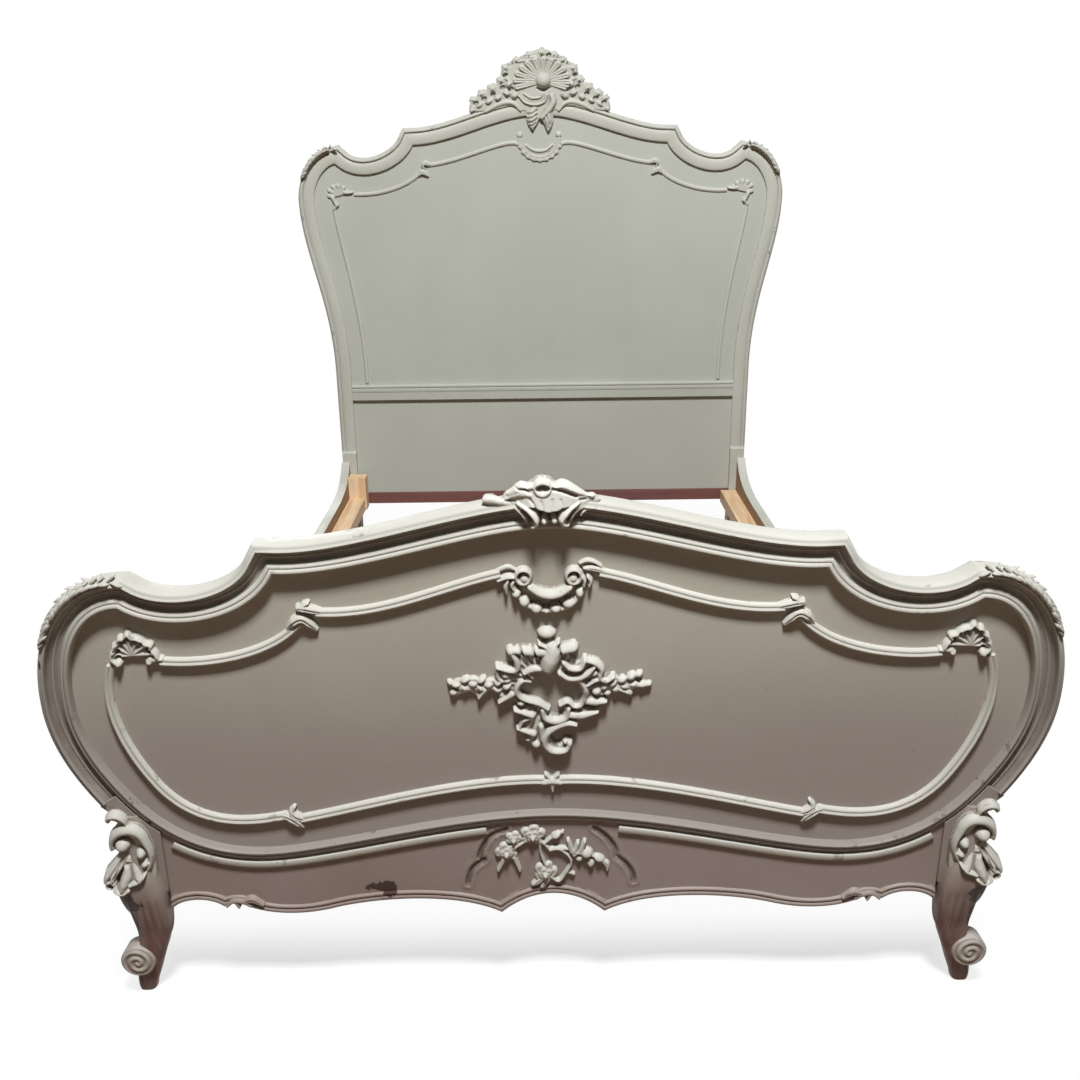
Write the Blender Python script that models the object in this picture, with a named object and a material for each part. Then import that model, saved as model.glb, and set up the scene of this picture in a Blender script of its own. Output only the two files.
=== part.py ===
"""Painted bed: shaped footboard on scroll-toed legs, tall headboard, two side rails hooked into the posts.

Metres. X is across the bed, Y runs from the footboard to the headboard, Z is up, and the floor is Z = 0.
Outlines are given for the +X half as (x, z) anchors with Bezier handles, and the other half mirrors them.
"""

import math

import bmesh
import bpy
from mathutils import Matrix, Vector

# Shared sizes
CLEAR = 0.0003
BOARD_SPACING = 1.95
STEPS = 7
SMOOTH_ANGLE = math.radians(38)

# Frame mouldings, measured outward from the sight edge and back from the bead's front
BEAD_WIDTH = 0.016
BEAD_DROP = 0.005
BEAD_QUIRK = 0.003
COVE_BACK = 0.012
LIP_INNER = 0.039
LIP_FRONT = 0.016
OVOLO_WIDTH = 0.033
OVOLO_BACK = 0.004
HEAD_LIP_FRONT = 0.005
MOULDING_WIDTH = 0.050
FRAME_BACK = 0.045
PANEL_FACE = 0.018
PANEL_THICKNESS = 0.012
GROOVE_DEPTH = 0.010

# Footboard sight edge: anchors
FOOT_TOP_Z = 0.827
FOOT_SHOULDER = (0.409, 0.757)
FOOT_EAR = (0.646, 0.704)
FOOT_SIDE = (0.739, 0.546)
FOOT_KNEE = (0.681, 0.390)
FOOT_LOW = (0.455, 0.275)
FOOT_BOTTOM_Z = 0.341

# Headboard sight edge: anchors
HEAD_TOP_Z = 1.449
HEAD_SHOULDER = (0.381, 1.370)
HEAD_EAR = (0.618, 1.320)
HEAD_SIDE = (0.688, 1.215)
HEAD_POST_X = 0.613
HEAD_POST_TOP_Z = 0.690
HEAD_STOP_Z = 0.430
POST_WIDTH = 0.049
GROOVE_END_Z = 0.245
STOP_HEIGHT = 0.006

# Headboard rails and lower panel
MID_RAIL_TOP_Z = 0.648
MID_RAIL_HEIGHT = 0.049
MID_RAIL_BOTTOM_Z = MID_RAIL_TOP_Z - MID_RAIL_HEIGHT
BOTTOM_RAIL_TOP_Z = 0.286
BOTTOM_RAIL_HEIGHT = 0.035
BOTTOM_RAIL_BOTTOM_Z = BOTTOM_RAIL_TOP_Z - BOTTOM_RAIL_HEIGHT
CROSS_RAIL_FRONT = 0.006
CROSS_RAIL_BACK = 0.042

# Apron under the footboard
APRON_FRONT = 0.010
APRON_BACK = 0.034
APRON_END_X = 0.632
APRON_END_Z = 0.162
APRON_CUSP = (0.545, 0.165)
APRON_STEP = (0.515, 0.170)
APRON_SWELL = (0.366, 0.159)
APRON_POINT = (0.085, 0.147)
APRON_CENTRE_Z = 0.184
FILLET_INNER = 0.0205
FILLET_OUTER = 0.033
FILLET_FRONT = 0.004
FILLET_ENDS_X = (0.100, 0.625)

# Front legs: height, inner x, outer x, front, back
LEG_SECTIONS = (
    (0.000, 0.680, 0.707, 0.003, 0.030),
    (0.012, 0.677, 0.708, 0.000, 0.032),
    (0.036, 0.668, 0.708, -0.004, 0.034),
    (0.046, 0.664, 0.714, -0.012, 0.034),
    (0.069, 0.657, 0.718, -0.014, 0.034),
    (0.090, 0.650, 0.711, -0.012, 0.034),
    (0.101, 0.645, 0.695, -0.007, 0.034),
    (0.125, 0.639, 0.693, -0.009, 0.036),
    (0.152, 0.636, 0.697, -0.014, 0.038),
    (0.178, 0.635, 0.709, -0.024, 0.040),
    (0.202, 0.636, 0.724, -0.038, 0.044),
    (0.228, 0.641, 0.727, -0.045, 0.044),
    (0.250, 0.648, 0.712, -0.037, 0.041),
    (0.276, 0.653, 0.695, -0.033, 0.038),
    (0.300, 0.656, 0.708, -0.036, 0.036),
    (0.324, 0.660, 0.703, -0.032, 0.032),
    (0.342, 0.668, 0.694, -0.022, 0.026),
    (0.354, 0.676, 0.711, -0.014, 0.020),
    (0.364, 0.684, 0.704, -0.006, 0.016),
)
LEG_SIDES = 14
LEG_SQUARENESS = 3.2
POST_FRONT = 0.004
POST_OUTER = ((0.696, 0.340), (0.690, 0.320), (0.690, 0.260), (0.694, 0.200))

# Mouldings applied to the panels: section, then start points with the curves that follow them
TRIM_WIDTH = 0.014
TRIM_HEIGHT = 0.0095
TRIM_FLAT = 0.006
TRIM_STEPS = 8
LEAF_SWELL = 1.4
FOOT_TRIM_UPPER = ((0.074, 0.745), ((0.085, -0.018), (-0.100, -0.008), (0.352, 0.686)))
FOOT_TRIM_SHOULDER = ((0.378, 0.676), ((0.045, -0.055), (-0.070, -0.008), (0.596, 0.613)))
FOOT_TRIM_SIDE = (
    (0.680, 0.594),
    ((0.016, -0.060), (0.045, 0.062), (0.626, 0.394)),
    ((-0.050, -0.069), (0.080, -0.018), (0.426, 0.337)),
)
FOOT_TRIM_LOWER = ((0.405, 0.330), ((-0.090, 0.017), (0.130, 0.004), (0.012, 0.396)))
HEAD_TRIM_UPPER = ((0.074, 1.392), ((0.110, -0.002), (-0.090, 0.006), (0.336, 1.324)))
HEAD_TRIM_SHOULDER = ((0.360, 1.302), ((0.040, -0.042), (-0.075, -0.006), (0.566, 1.239)))
HEAD_TRIM_SIDE_TOP = (0.630, 1.190)
HEAD_TRIM_SIDE_HANDLES = ((-0.010, -0.100), (-0.004, 0.230))
HEAD_TRIM_SIDE_X = 0.564
HEAD_TRIM_SIDE_GAP = 0.006

# Carvings: centres, and sizes as half width, rise and drop or half outlines as offsets from the centre
CARVING_RELIEF = 0.018
LOBE_DEPTH = 0.12
LOBE_BEND = 1.8
CARTOUCHE_Z = 0.562
CARTOUCHE_OPENING = (0.050, 0.036, 0.036)
CARTOUCHE_HALF = (
    (0, 0.118),
    (0.018, 0.105),
    (0.016, 0.085),
    (0.040, 0.080),
    (0.060, 0.060),
    (0.085, 0.048),
    (0.090, 0.030),
    (0.152, 0.024),
    (0.152, 0.008),
    (0.090, -0.002),
    (0.080, -0.018),
    (0.062, -0.035),
    (0.045, -0.056),
    (0.034, -0.078),
    (0.032, -0.098),
    (0.012, -0.107),
    (0, -0.107),
)
GARLAND_Z = 0.732
GARLAND_SIZE = (0.060, 0.034, 0.036)
GARLAND_LOBES = 11
SPRAY_Z = 0.250
SPRAY_SIZE = (0.096, 0.066, 0.048)
SPRAY_LOBES = 10
COLLAR_Z = 1.372
COLLAR_SIZE = (0.065, 0.025, 0.042)
COLLAR_LOBES = 11
FOOT_SHELL = (0.636, 0.624)
FOOT_SHELL_SIZE = (0.036, 0.034, 0.020)
HEAD_SHELL = (0.610, 1.232)
HEAD_SHELL_SIZE = (0.034, 0.029, 0.036)
SHELL_LOBES = 12
CRESTS_FRONT = 0.020
CREST_BACK = 0.030
FOOT_CREST_Z = 0.868
FOOT_CREST_HALF = (
    (0, 0.043),
    (0.024, 0.042),
    (0.045, 0.032),
    (0.066, 0.017),
    (0.100, 0.010),
    (0.102, 0.002),
    (0.056, -0.004),
    (0.046, -0.018),
    (0.030, -0.026),
    (0.012, -0.030),
    (0, -0.028),
)
HEAD_CREST_Z = 1.505
HEAD_CREST_HALF = (
    (0, 0.137),
    (0.036, 0.133),
    (0.075, 0.112),
    (0.102, 0.078),
    (0.098, 0.050),
    (0.130, 0.040),
    (0.165, 0.022),
    (0.205, -0.014),
    (0.198, -0.032),
    (0.140, -0.028),
    (0.085, -0.030),
    (0.060, -0.050),
    (0.045, -0.066),
    (0.030, -0.098),
    (0.010, -0.084),
    (0, -0.076),
)
EAR_LEAF_HEIGHT = 0.008
EAR_LEAF_FRONT = 0.002
EAR_LEAF_BACK = 0.030

# Side rails
RAIL_SET_OUT = 0.023
RAIL_THICKNESS = 0.026
RAIL_BOTTOM_Z = 0.170
RAIL_TOP_Z = 0.320
RAIL_RISE_Z = 0.395
RAIL_RISE_LENGTH = 0.270
BATTEN_WIDTH = 0.050
BATTEN_HEIGHT = 0.038
BATTEN_TOP_Z = 0.285
BATTEN_FOOT_GAP = 0.010
BLOCK_WIDTH = 0.055
BLOCK_DEPTH = 0.050
BLOCK_BOTTOM_Z = 0.247
BLOCK_TOP_Z = 0.355
BLOCK_HEAD_GAP = 0.003

# Rail hooks and the slots that they drop into
RAIL_LIFT = 0.025
HOOK_THICKNESS = 0.004
HOOK_Z = 0.215
HOOK_HEIGHT = 0.060
HOOK_IN_RAIL = 0.020
HOOK_REACH = 0.014
HOOK_THROAT = 0.006
HOOK_LIP = 0.016

# Positions that follow
FRONT_REACH = -min(section[3] for section in LEG_SECTIONS)
FOOT_FACE_Y = (FRONT_REACH - BOARD_SPACING - FRAME_BACK) / 2
HEAD_FACE_Y = FOOT_FACE_Y + BOARD_SPACING
RAIL_FOOT_Y = FOOT_FACE_Y + FRAME_BACK + CLEAR
RAIL_HEAD_Y = HEAD_FACE_Y - CLEAR
RAIL_INNER_X = HEAD_POST_X + RAIL_SET_OUT
RAIL_X = RAIL_INNER_X + RAIL_THICKNESS / 2

# Colours
PAINT = (0.44, 0.43, 0.39)
TAUPE = (0.27, 0.23, 0.19)
STAIN = (0.17, 0.07, 0.06)
RAIL_WOOD = (0.30, 0.14, 0.05)
PINE = (0.72, 0.46, 0.22)
IRON = (0.10, 0.09, 0.085)


def bezier(start, out, inward, end, steps):
    """Points of one curve without its first. The handles are offsets from the ends."""
    a = Vector(start)
    d = Vector(end)
    b = a + Vector(out)
    c = d + Vector(inward)
    found = []
    for i in range(1, steps + 1):
        t = i / steps
        u = 1 - t
        found.append(a * u**3 + b * (3 * u * u * t) + c * (3 * u * t * t) + d * t**3)
    return found


def chain(start, curves, steps=STEPS):
    points = [Vector(start)]
    for out, inward, end in curves:
        points += bezier(points[-1], out, inward, end, steps)
    return points


def turned(step):
    """Unit vector to the left of a step."""
    return Vector((-step.y, step.x)).normalized()


def mitres(points, first=None, last=None):
    """Offset vector of each point for a distance of 1, mitred where the line turns."""
    sides = [turned(b - a) for a, b in zip(points, points[1:])]
    inner = [(a + b) / (1 + a.dot(b)) for a, b in zip(sides, sides[1:])]
    return [Vector(first) if first else sides[0], *inner, Vector(last) if last else sides[-1]]


def mirrored(point):
    return Vector((-point.x, point.y))


def both(stations):
    """A half line that starts at x = 0, with its mirror image before it."""
    return [(mirrored(p), mirrored(s)) for p, s in reversed(stations[1:])] + stations


def between(stations, low, high, offset=0.0):
    """The stations whose offset x lies between low and high, cut exactly at both."""
    found = []
    for (p, s), (q, r) in zip(stations, stations[1:]):
        a = p.x + s.x * offset
        b = q.x + r.x * offset
        cuts = sorted(
            t for t in (0.0, (low - a) / (b - a), (high - a) / (b - a)) if 0 <= t < 1
        ) if abs(b - a) > 1e-9 else [0.0]
        for t in cuts:
            point, side = p.lerp(q, t), s.lerp(r, t)
            x = point.x + side.x * offset
            if low - 1e-6 <= x <= high + 1e-6:
                found.append((point, side))
    return found


def shifted(station, along):
    """A station moved along its line, for the gap at a joint."""
    point, side = station
    return point + Vector((side.y, -side.x)).normalized() * along, side


def offset_line(stations, distance):
    return [p + s * distance for p, s in stations]


def material_for(name, colour, roughness, metallic):
    material = bpy.data.materials.new(name + "_finish")
    material.use_nodes = True
    shader = material.node_tree.nodes["Principled BSDF"]
    shader.inputs["Base Color"].default_value = (*colour, 1)
    shader.inputs["Roughness"].default_value = roughness
    shader.inputs["Metallic"].default_value = metallic
    return material


def add(name, points, faces, colour=PAINT, roughness=0.55, metallic=0.0, mirror=False, origin=(0, 0, 0)):
    """One closed object from points and faces, facing out and shaded smooth up to SMOOTH_ANGLE."""
    flip = -1 if mirror else 1
    centre = Vector((origin[0] * flip, origin[1], origin[2]))
    mesh = bpy.data.meshes.new(name)
    mesh.from_pydata([Vector((x * flip, y, z)) - centre for x, y, z in points], [], faces)
    work = bmesh.new()
    work.from_mesh(mesh)
    bmesh.ops.triangulate(work, faces=work.faces)
    bmesh.ops.recalc_face_normals(work, faces=work.faces)
    work.to_mesh(mesh)
    work.free()
    mesh.shade_smooth()
    mesh.set_sharp_from_angle(angle=SMOOTH_ANGLE)
    mesh.materials.append(material_for(name, colour, roughness, metallic))
    obj = bpy.data.objects.new(name, mesh)
    obj.location = centre
    bpy.context.scene.collection.objects.link(obj)
    return obj


def rings_solid(name, rings, **finish):
    """Solid through rings with the same number of points, closed by a face at each end."""
    count = len(rings[0])
    faces = [tuple(range(count)), tuple(range(len(rings) * count - count, len(rings) * count))]
    for i in range(len(rings) - 1):
        for j in range(count):
            k = (j + 1) % count
            faces.append((i * count + j, i * count + k, i * count + count + k, i * count + count + j))
    return add(name, [p for ring in rings for p in ring], faces, **finish)


def ring_at(station, profile, face_y):
    point, side = station
    return [(point.x + side.x * w, face_y + y, point.y + side.y * w) for w, y in profile]


def sweep(name, stations, profile, face_y, **finish):
    return rings_solid(name, [ring_at(station, profile, face_y) for station in stations], **finish)


def board(name, outline, front, back, **finish):
    """Flat piece with an outline in x and z."""
    return rings_solid(name, [[(x, y, z) for x, z in outline] for y in (front, back)], **finish)


def side_board(name, outline, inner, outer, **finish):
    """Flat piece with an outline in y and z."""
    return rings_solid(name, [[(x, y, z) for y, z in outline] for x in (inner, outer)], **finish)


def cross_rail(name, profile, half_length, face_y, **finish):
    """Straight piece across the bed with a profile in y and z."""
    return rings_solid(
        name, [[(x, face_y + y, z) for y, z in profile] for x in (-half_length, half_length)], **finish
    )


def cut(obj, cutter, operation="DIFFERENCE"):
    cutter.hide_render = True
    cutter.display_type = "WIRE"
    modifier = obj.modifiers.new(cutter.name, "BOOLEAN")
    modifier.operation = operation
    modifier.solver = "EXACT"
    modifier.object = cutter


def rounded_radius(angle, size):
    """Reach of a rounded outline with half width, rise and drop, in one direction."""
    wide, up, down = size
    height = up if math.sin(angle) >= 0 else down
    across = abs(math.cos(angle)) / wide
    rise = abs(math.sin(angle)) / height
    return (across**LOBE_BEND + rise**LOBE_BEND) ** (-1 / LOBE_BEND)


def lobed(size, lobes, points=36):
    """Offsets of a rounded outline with shallow lobes."""
    found = []
    for i in range(points):
        angle = 2 * math.pi * (i + 0.5) / points
        reach = rounded_radius(angle, size) * (1 - LOBE_DEPTH * (0.5 - 0.5 * math.cos(lobes * angle)))
        found.append(Vector((reach * math.cos(angle), reach * math.sin(angle))))
    return found


def whole(half):
    """Closed outline from a half that starts and ends at x = 0."""
    points = [Vector(p) for p in half]
    return points + [mirrored(p) for p in reversed(points[1:-1])]


def relief(name, centre, loop, layers, **finish):
    """Domed carving with a flat back. Each layer is a share of the outline and its y."""
    x0, z0 = centre
    rings = [[(x0 + p.x * share, y, z0 + p.y * share) for p in loop] for share, y in layers]
    return rings_solid(name, rings, **finish)


def wreath(name, centre, loop, opening, section, **finish):
    """Openwork ring. Each point of the section is a share of the way from the opening out, and its y."""
    x0, z0 = centre
    verts = []
    for p in loop:
        inner = p.normalized() * rounded_radius(math.atan2(p.y, p.x), opening)
        for share, y in section:
            q = inner.lerp(p, share)
            verts.append((x0 + q.x, y, z0 + q.y))
    points = len(loop)
    count = len(section)
    faces = []
    for i in range(points):
        k = (i + 1) % points
        for j in range(count):
            m = (j + 1) % count
            faces.append((i * count + j, i * count + m, k * count + m, k * count + j))
    return add(name, verts, faces, **finish)


def clear_scene():
    for obj in list(bpy.data.objects):
        bpy.data.objects.remove(obj)


def foot_outline():
    """Half sight edge of the footboard, from the top centre down, and where its ear and knee are."""
    points = chain(
        (0, FOOT_TOP_Z),
        (
            ((0.110, 0), (-0.138, -0.007), FOOT_SHOULDER),
            ((0.040, -0.076), (-0.066, -0.046), FOOT_EAR),
            ((0.056, 0), (0.002, 0.092), FOOT_SIDE),
            ((0, -0.062), (0.028, 0.041), FOOT_KNEE),
            ((-0.036, -0.052), (0.125, -0.007), FOOT_LOW),
            ((-0.105, 0.006), (0.160, 0), (0, FOOT_BOTTOM_Z)),
        ),
    )
    return list(zip(points, mitres(points, (0, 1), (0, -1)))), 2 * STEPS, 4 * STEPS


def head_outline():
    """Half sight edge of the headboard, from the top centre to the stop, and where its ear is."""
    points = chain(
        (0, HEAD_TOP_Z),
        (
            ((0.125, 0.003), (-0.126, 0.001), HEAD_SHOULDER),
            ((0.031, -0.065), (-0.073, -0.070), HEAD_EAR),
            ((0.037, -0.008), (0, 0.047), HEAD_SIDE),
            ((0, -0.155), (0, 0.240), (HEAD_POST_X, HEAD_POST_TOP_Z)),
        ),
    )
    points.append(Vector((HEAD_POST_X, HEAD_STOP_Z)))
    return list(zip(points, mitres(points, (0, 1), (1, 0)))), 2 * STEPS


def bead_profile():
    """Double bead from the sight edge outward."""
    return [
        (0, PANEL_FACE - CLEAR),
        (0, BEAD_DROP),
        (BEAD_WIDTH * 0.2, 0),
        (BEAD_WIDTH * 0.5, BEAD_QUIRK),
        (BEAD_WIDTH * 0.8, 0),
        (BEAD_WIDTH, BEAD_DROP),
    ]


def groove_profile():
    """Back of the frame with the groove for the panel, from the outside in."""
    groove_back = PANEL_FACE + PANEL_THICKNESS + CLEAR
    return [
        (0, FRAME_BACK),
        (0, groove_back),
        (GROOVE_DEPTH, groove_back),
        (GROOVE_DEPTH, PANEL_FACE - CLEAR),
    ]


def frame_profile():
    """Bead, cove and rolled cap, closed by the grooved back."""
    cove = LIP_INNER - BEAD_WIDTH
    return [
        *bead_profile(),
        (BEAD_WIDTH + cove * 0.2, COVE_BACK),
        (BEAD_WIDTH + cove * 0.6, COVE_BACK * 0.75),
        (LIP_INNER - 0.001, -LIP_FRONT * 0.25),
        (LIP_INNER, -LIP_FRONT * 0.8),
        (LIP_INNER + 0.003, -LIP_FRONT),
        (MOULDING_WIDTH - 0.002, -LIP_FRONT * 0.6),
        (MOULDING_WIDTH, LIP_FRONT * 0.6),
        (MOULDING_WIDTH - 0.002, FRAME_BACK * 0.8),
        (MOULDING_WIDTH - 0.008, FRAME_BACK),
        *groove_profile(),
    ]


def head_profile():
    """Broad round moulding and narrow cap, closed by the grooved back."""
    cap = MOULDING_WIDTH - OVOLO_WIDTH
    return [
        (0, PANEL_FACE - CLEAR),
        (0, PANEL_FACE * 0.45),
        (OVOLO_WIDTH * 0.08, OVOLO_BACK),
        (OVOLO_WIDTH * 0.22, OVOLO_BACK * 0.25),
        (OVOLO_WIDTH * 0.42, 0),
        (OVOLO_WIDTH * 0.62, 0),
        (OVOLO_WIDTH * 0.85, OVOLO_BACK * 0.5),
        (OVOLO_WIDTH, OVOLO_BACK),
        (OVOLO_WIDTH + cap * 0.1, OVOLO_BACK),
        (OVOLO_WIDTH + cap * 0.2, -HEAD_LIP_FRONT * 0.4),
        (OVOLO_WIDTH + cap * 0.4, -HEAD_LIP_FRONT),
        (MOULDING_WIDTH - 0.003, -HEAD_LIP_FRONT * 0.6),
        (MOULDING_WIDTH, HEAD_LIP_FRONT),
        (MOULDING_WIDTH - 0.002, FRAME_BACK * 0.8),
        (MOULDING_WIDTH - 0.008, FRAME_BACK),
        *groove_profile(),
    ]


def plain_profile(grooved):
    """Square post with as many points as the head profile."""
    moulded = head_profile()
    found = []
    for w, y in moulded[:-4]:
        on_back = y == FRAME_BACK
        on_side = not on_back and (w >= MOULDING_WIDTH - 0.002 and y > 0)
        found.append((POST_WIDTH, y) if on_side or on_back else (min(w, POST_WIDTH), 0))
    found[0] = moulded[0]
    found[-4] = (POST_WIDTH, 0)
    back = groove_profile()
    if not grooved:
        back = [back[0], back[1], (0, back[2][1] - CLEAR), (0, back[3][1] + CLEAR)]
    return found + back


def add_foot_frame(outline, ear, knee):
    profile = frame_profile()
    top = outline[:ear] + [shifted(outline[ear], -CLEAR / 2)]
    sweep("foot_top_rail", both(top), profile, FOOT_FACE_Y)
    end = (outline[knee][0], turned(outline[knee][0] - outline[knee - 1][0]))
    stile = [shifted(outline[ear], CLEAR / 2), *outline[ear + 1 : knee], shifted(end, -CLEAR / 2)]
    low_end = (end[0], end[1])
    bead = bead_profile() + [(BEAD_WIDTH, FRAME_BACK)] + groove_profile()
    strip = [shifted(low_end, CLEAR / 2), *outline[knee + 1 :]]
    mirror_strip = [(mirrored(p), mirrored(s)) for p, s in reversed(strip[:-1])]
    sweep("foot_bottom_bead", strip + mirror_strip, bead, FOOT_FACE_Y)
    for side, mirror in (("left", True), ("right", False)):
        sweep("foot_stile_" + side, stile, profile, FOOT_FACE_Y, mirror=mirror)
    return end


def add_foot_panel(outline):
    half = offset_line(outline, GROOVE_DEPTH - CLEAR)
    loop = half + [mirrored(p) for p in reversed(half[1:-1])]
    face = FOOT_FACE_Y + PANEL_FACE
    board("foot_panel", loop, face, face + PANEL_THICKNESS, colour=TAUPE)


def add_apron(outline, knee):
    low = outline[knee:]
    top = offset_line(between(low, -1e-9, APRON_END_X, BEAD_WIDTH + CLEAR), BEAD_WIDTH + CLEAR)
    bottom = chain(
        (APRON_END_X, APRON_END_Z),
        (
            ((-0.017, 0.020), (0.025, 0.021), APRON_CUSP),
            ((-0.008, 0.004), (0.008, 0.003), APRON_STEP),
            ((-0.035, -0.022), (0.054, -0.014), APRON_SWELL),
            ((-0.066, 0.019), (0.075, 0.043), APRON_POINT),
            ((-0.025, 0.023), (0.030, 0), (0, APRON_CENTRE_Z)),
        ),
        5,
    )
    half = list(reversed(top)) + bottom
    loop = half + [mirrored(p) for p in reversed(half[1:-1])]
    board("foot_apron", loop, FOOT_FACE_Y + APRON_FRONT, FOOT_FACE_Y + APRON_BACK)
    back = APRON_FRONT - CLEAR
    fillet = [
        (FILLET_INNER, back),
        (FILLET_INNER, FILLET_FRONT + 0.002),
        (FILLET_INNER + 0.003, FILLET_FRONT),
        (FILLET_OUTER - 0.003, FILLET_FRONT),
        (FILLET_OUTER, FILLET_FRONT + 0.002),
        (FILLET_OUTER, back),
    ]
    run = between(low, *FILLET_ENDS_X, FILLET_OUTER)
    for side, mirror in (("left", True), ("right", False)):
        sweep("foot_fillet_" + side, run, fillet, FOOT_FACE_Y, mirror=mirror)


def leg_ring(section):
    z, inner, outer, front, back = section
    ring = []
    for i in range(LEG_SIDES):
        angle = 2 * math.pi * (i + 0.5) / LEG_SIDES
        c = math.cos(angle)
        s = math.sin(angle)
        r = (abs(c) ** LEG_SQUARENESS + abs(s) ** LEG_SQUARENESS) ** (-1 / LEG_SQUARENESS)
        x = (inner + outer) / 2 + (outer - inner) / 2 * c * r
        y = (front + back) / 2 + (back - front) / 2 * s * r
        ring.append((x, FOOT_FACE_Y + y, z))
    return ring


def hook_outline(end_y, into):
    """Hook in y and z: a tongue let into the rail, with a lip turned down beyond the joint at end_y."""
    lip_z = HOOK_Z + HOOK_LIP
    return [
        (end_y - into * HOOK_IN_RAIL, HOOK_Z),
        (end_y - into * CLEAR, HOOK_Z),
        (end_y - into * CLEAR, lip_z),
        (end_y + into * HOOK_THROAT, lip_z),
        (end_y + into * HOOK_THROAT, HOOK_Z),
        (end_y + into * HOOK_REACH, HOOK_Z),
        (end_y + into * HOOK_REACH, HOOK_Z + HOOK_HEIGHT * 0.7),
        (end_y, HOOK_Z + HOOK_HEIGHT),
        (end_y - into * HOOK_IN_RAIL, HOOK_Z + HOOK_HEIGHT),
    ]


def slot_outline(end_y, into):
    """Slot in a post: the hook's lip drops behind the sill at its mouth, and lifts into the room above."""
    top = HOOK_Z + HOOK_HEIGHT + RAIL_LIFT + CLEAR
    sill = end_y + into * (HOOK_THROAT - CLEAR)
    deep = end_y + into * (HOOK_REACH + CLEAR)
    mouth = end_y - into * 2 * CLEAR
    return [
        (mouth, HOOK_Z + HOOK_LIP - CLEAR),
        (sill, HOOK_Z + HOOK_LIP - CLEAR),
        (sill, HOOK_Z - CLEAR),
        (deep, HOOK_Z - CLEAR),
        (deep, top),
        (mouth, top),
    ]


def add_slot(post, name, end_y, into, mirror):
    reach = HOOK_THICKNESS / 2 + CLEAR
    cutter = side_board(name, slot_outline(end_y, into), RAIL_X - reach, RAIL_X + reach, mirror=mirror)
    cut(post, cutter)


def add_legs(outline, knee, end):
    low = outline[knee:]
    seam = BEAD_WIDTH + CLEAR
    inner_x = APRON_END_X + CLEAR
    lower = shifted(end, CLEAR / 2)
    edge = between(low, inner_x, 1, seam)
    top = [lower[0] + lower[1] * MOULDING_WIDTH, lower[0] + lower[1] * seam]
    inner = offset_line(edge, seam)[1:]
    bottom_z = POST_OUTER[-1][1]
    loop = top + inner + [Vector((inner_x, bottom_z))] + [Vector(p) for p in reversed(POST_OUTER)]
    for side, mirror in (("left", True), ("right", False)):
        leg = board(
            "foot_leg_" + side, loop, FOOT_FACE_Y + POST_FRONT, FOOT_FACE_Y + FRAME_BACK, mirror=mirror
        )
        shaft = rings_solid(
            "leg_shaft_" + side, [leg_ring(section) for section in LEG_SECTIONS], mirror=mirror
        )
        cut(leg, shaft, "UNION")
        add_slot(leg, "foot_slot_" + side, FOOT_FACE_Y + FRAME_BACK, -1, mirror)


def add_head_frame(outline, ear):
    profile = head_profile()
    top = outline[:ear] + [shifted(outline[ear], -CLEAR / 2)]
    sweep("head_top_rail", both(top), profile, HEAD_FACE_Y)
    moulded = [shifted(outline[ear], CLEAR / 2), *outline[ear + 1 :]]
    rings = [ring_at(station, profile, HEAD_FACE_Y) for station in moulded]
    side = Vector((1, 0))
    for z, grooved in (
        (HEAD_STOP_Z - STOP_HEIGHT, True),
        (GROOVE_END_Z, True),
        (GROOVE_END_Z - GROOVE_DEPTH, False),
        (0, False),
    ):
        rings.append(ring_at((Vector((HEAD_POST_X, z)), side), plain_profile(grooved), HEAD_FACE_Y))
    for hand, mirror in (("left", True), ("right", False)):
        post = rings_solid("head_post_" + hand, rings, mirror=mirror)
        add_slot(post, "head_slot_" + hand, HEAD_FACE_Y, 1, mirror)


def add_head_panels(outline):
    face = HEAD_FACE_Y + PANEL_FACE
    tuck = GROOVE_DEPTH - CLEAR
    half = [p for p in offset_line(outline, tuck) if p.y > MID_RAIL_TOP_Z]
    half.append(Vector((HEAD_POST_X + tuck, MID_RAIL_TOP_Z - tuck)))
    loop = half + [mirrored(p) for p in reversed(half[1:])]
    board("head_panel", loop, face, face + PANEL_THICKNESS)
    x = HEAD_POST_X + tuck
    low = BOTTOM_RAIL_TOP_Z - tuck
    high = MID_RAIL_BOTTOM_Z + tuck
    board("head_lower_panel", [(-x, low), (x, low), (x, high), (-x, high)], face, face + PANEL_THICKNESS)


def groove_in(z, into):
    """Points of a panel groove in the edge of a cross rail, from front to back."""
    front = PANEL_FACE - CLEAR
    back = PANEL_FACE + PANEL_THICKNESS + CLEAR
    deep = z + into * GROOVE_DEPTH
    return [(front, z), (front, deep), (back, deep), (back, z)]


def add_head_rails():
    length = HEAD_POST_X - CLEAR
    mid = [
        (CROSS_RAIL_FRONT, MID_RAIL_BOTTOM_Z),
        (CROSS_RAIL_FRONT, MID_RAIL_TOP_Z),
        *groove_in(MID_RAIL_TOP_Z, -1),
        (CROSS_RAIL_BACK, MID_RAIL_TOP_Z),
        (CROSS_RAIL_BACK, MID_RAIL_BOTTOM_Z),
        *reversed(groove_in(MID_RAIL_BOTTOM_Z, 1)),
    ]
    cross_rail("head_mid_rail", mid, length, HEAD_FACE_Y)
    low = [
        (CROSS_RAIL_FRONT, BOTTOM_RAIL_BOTTOM_Z),
        (CROSS_RAIL_FRONT, BOTTOM_RAIL_TOP_Z),
        *groove_in(BOTTOM_RAIL_TOP_Z, -1),
        (CROSS_RAIL_BACK, BOTTOM_RAIL_TOP_Z),
        (CROSS_RAIL_BACK, BOTTOM_RAIL_BOTTOM_Z),
    ]
    cross_rail("head_bottom_rail", low, length, HEAD_FACE_Y, colour=STAIN)


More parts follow.
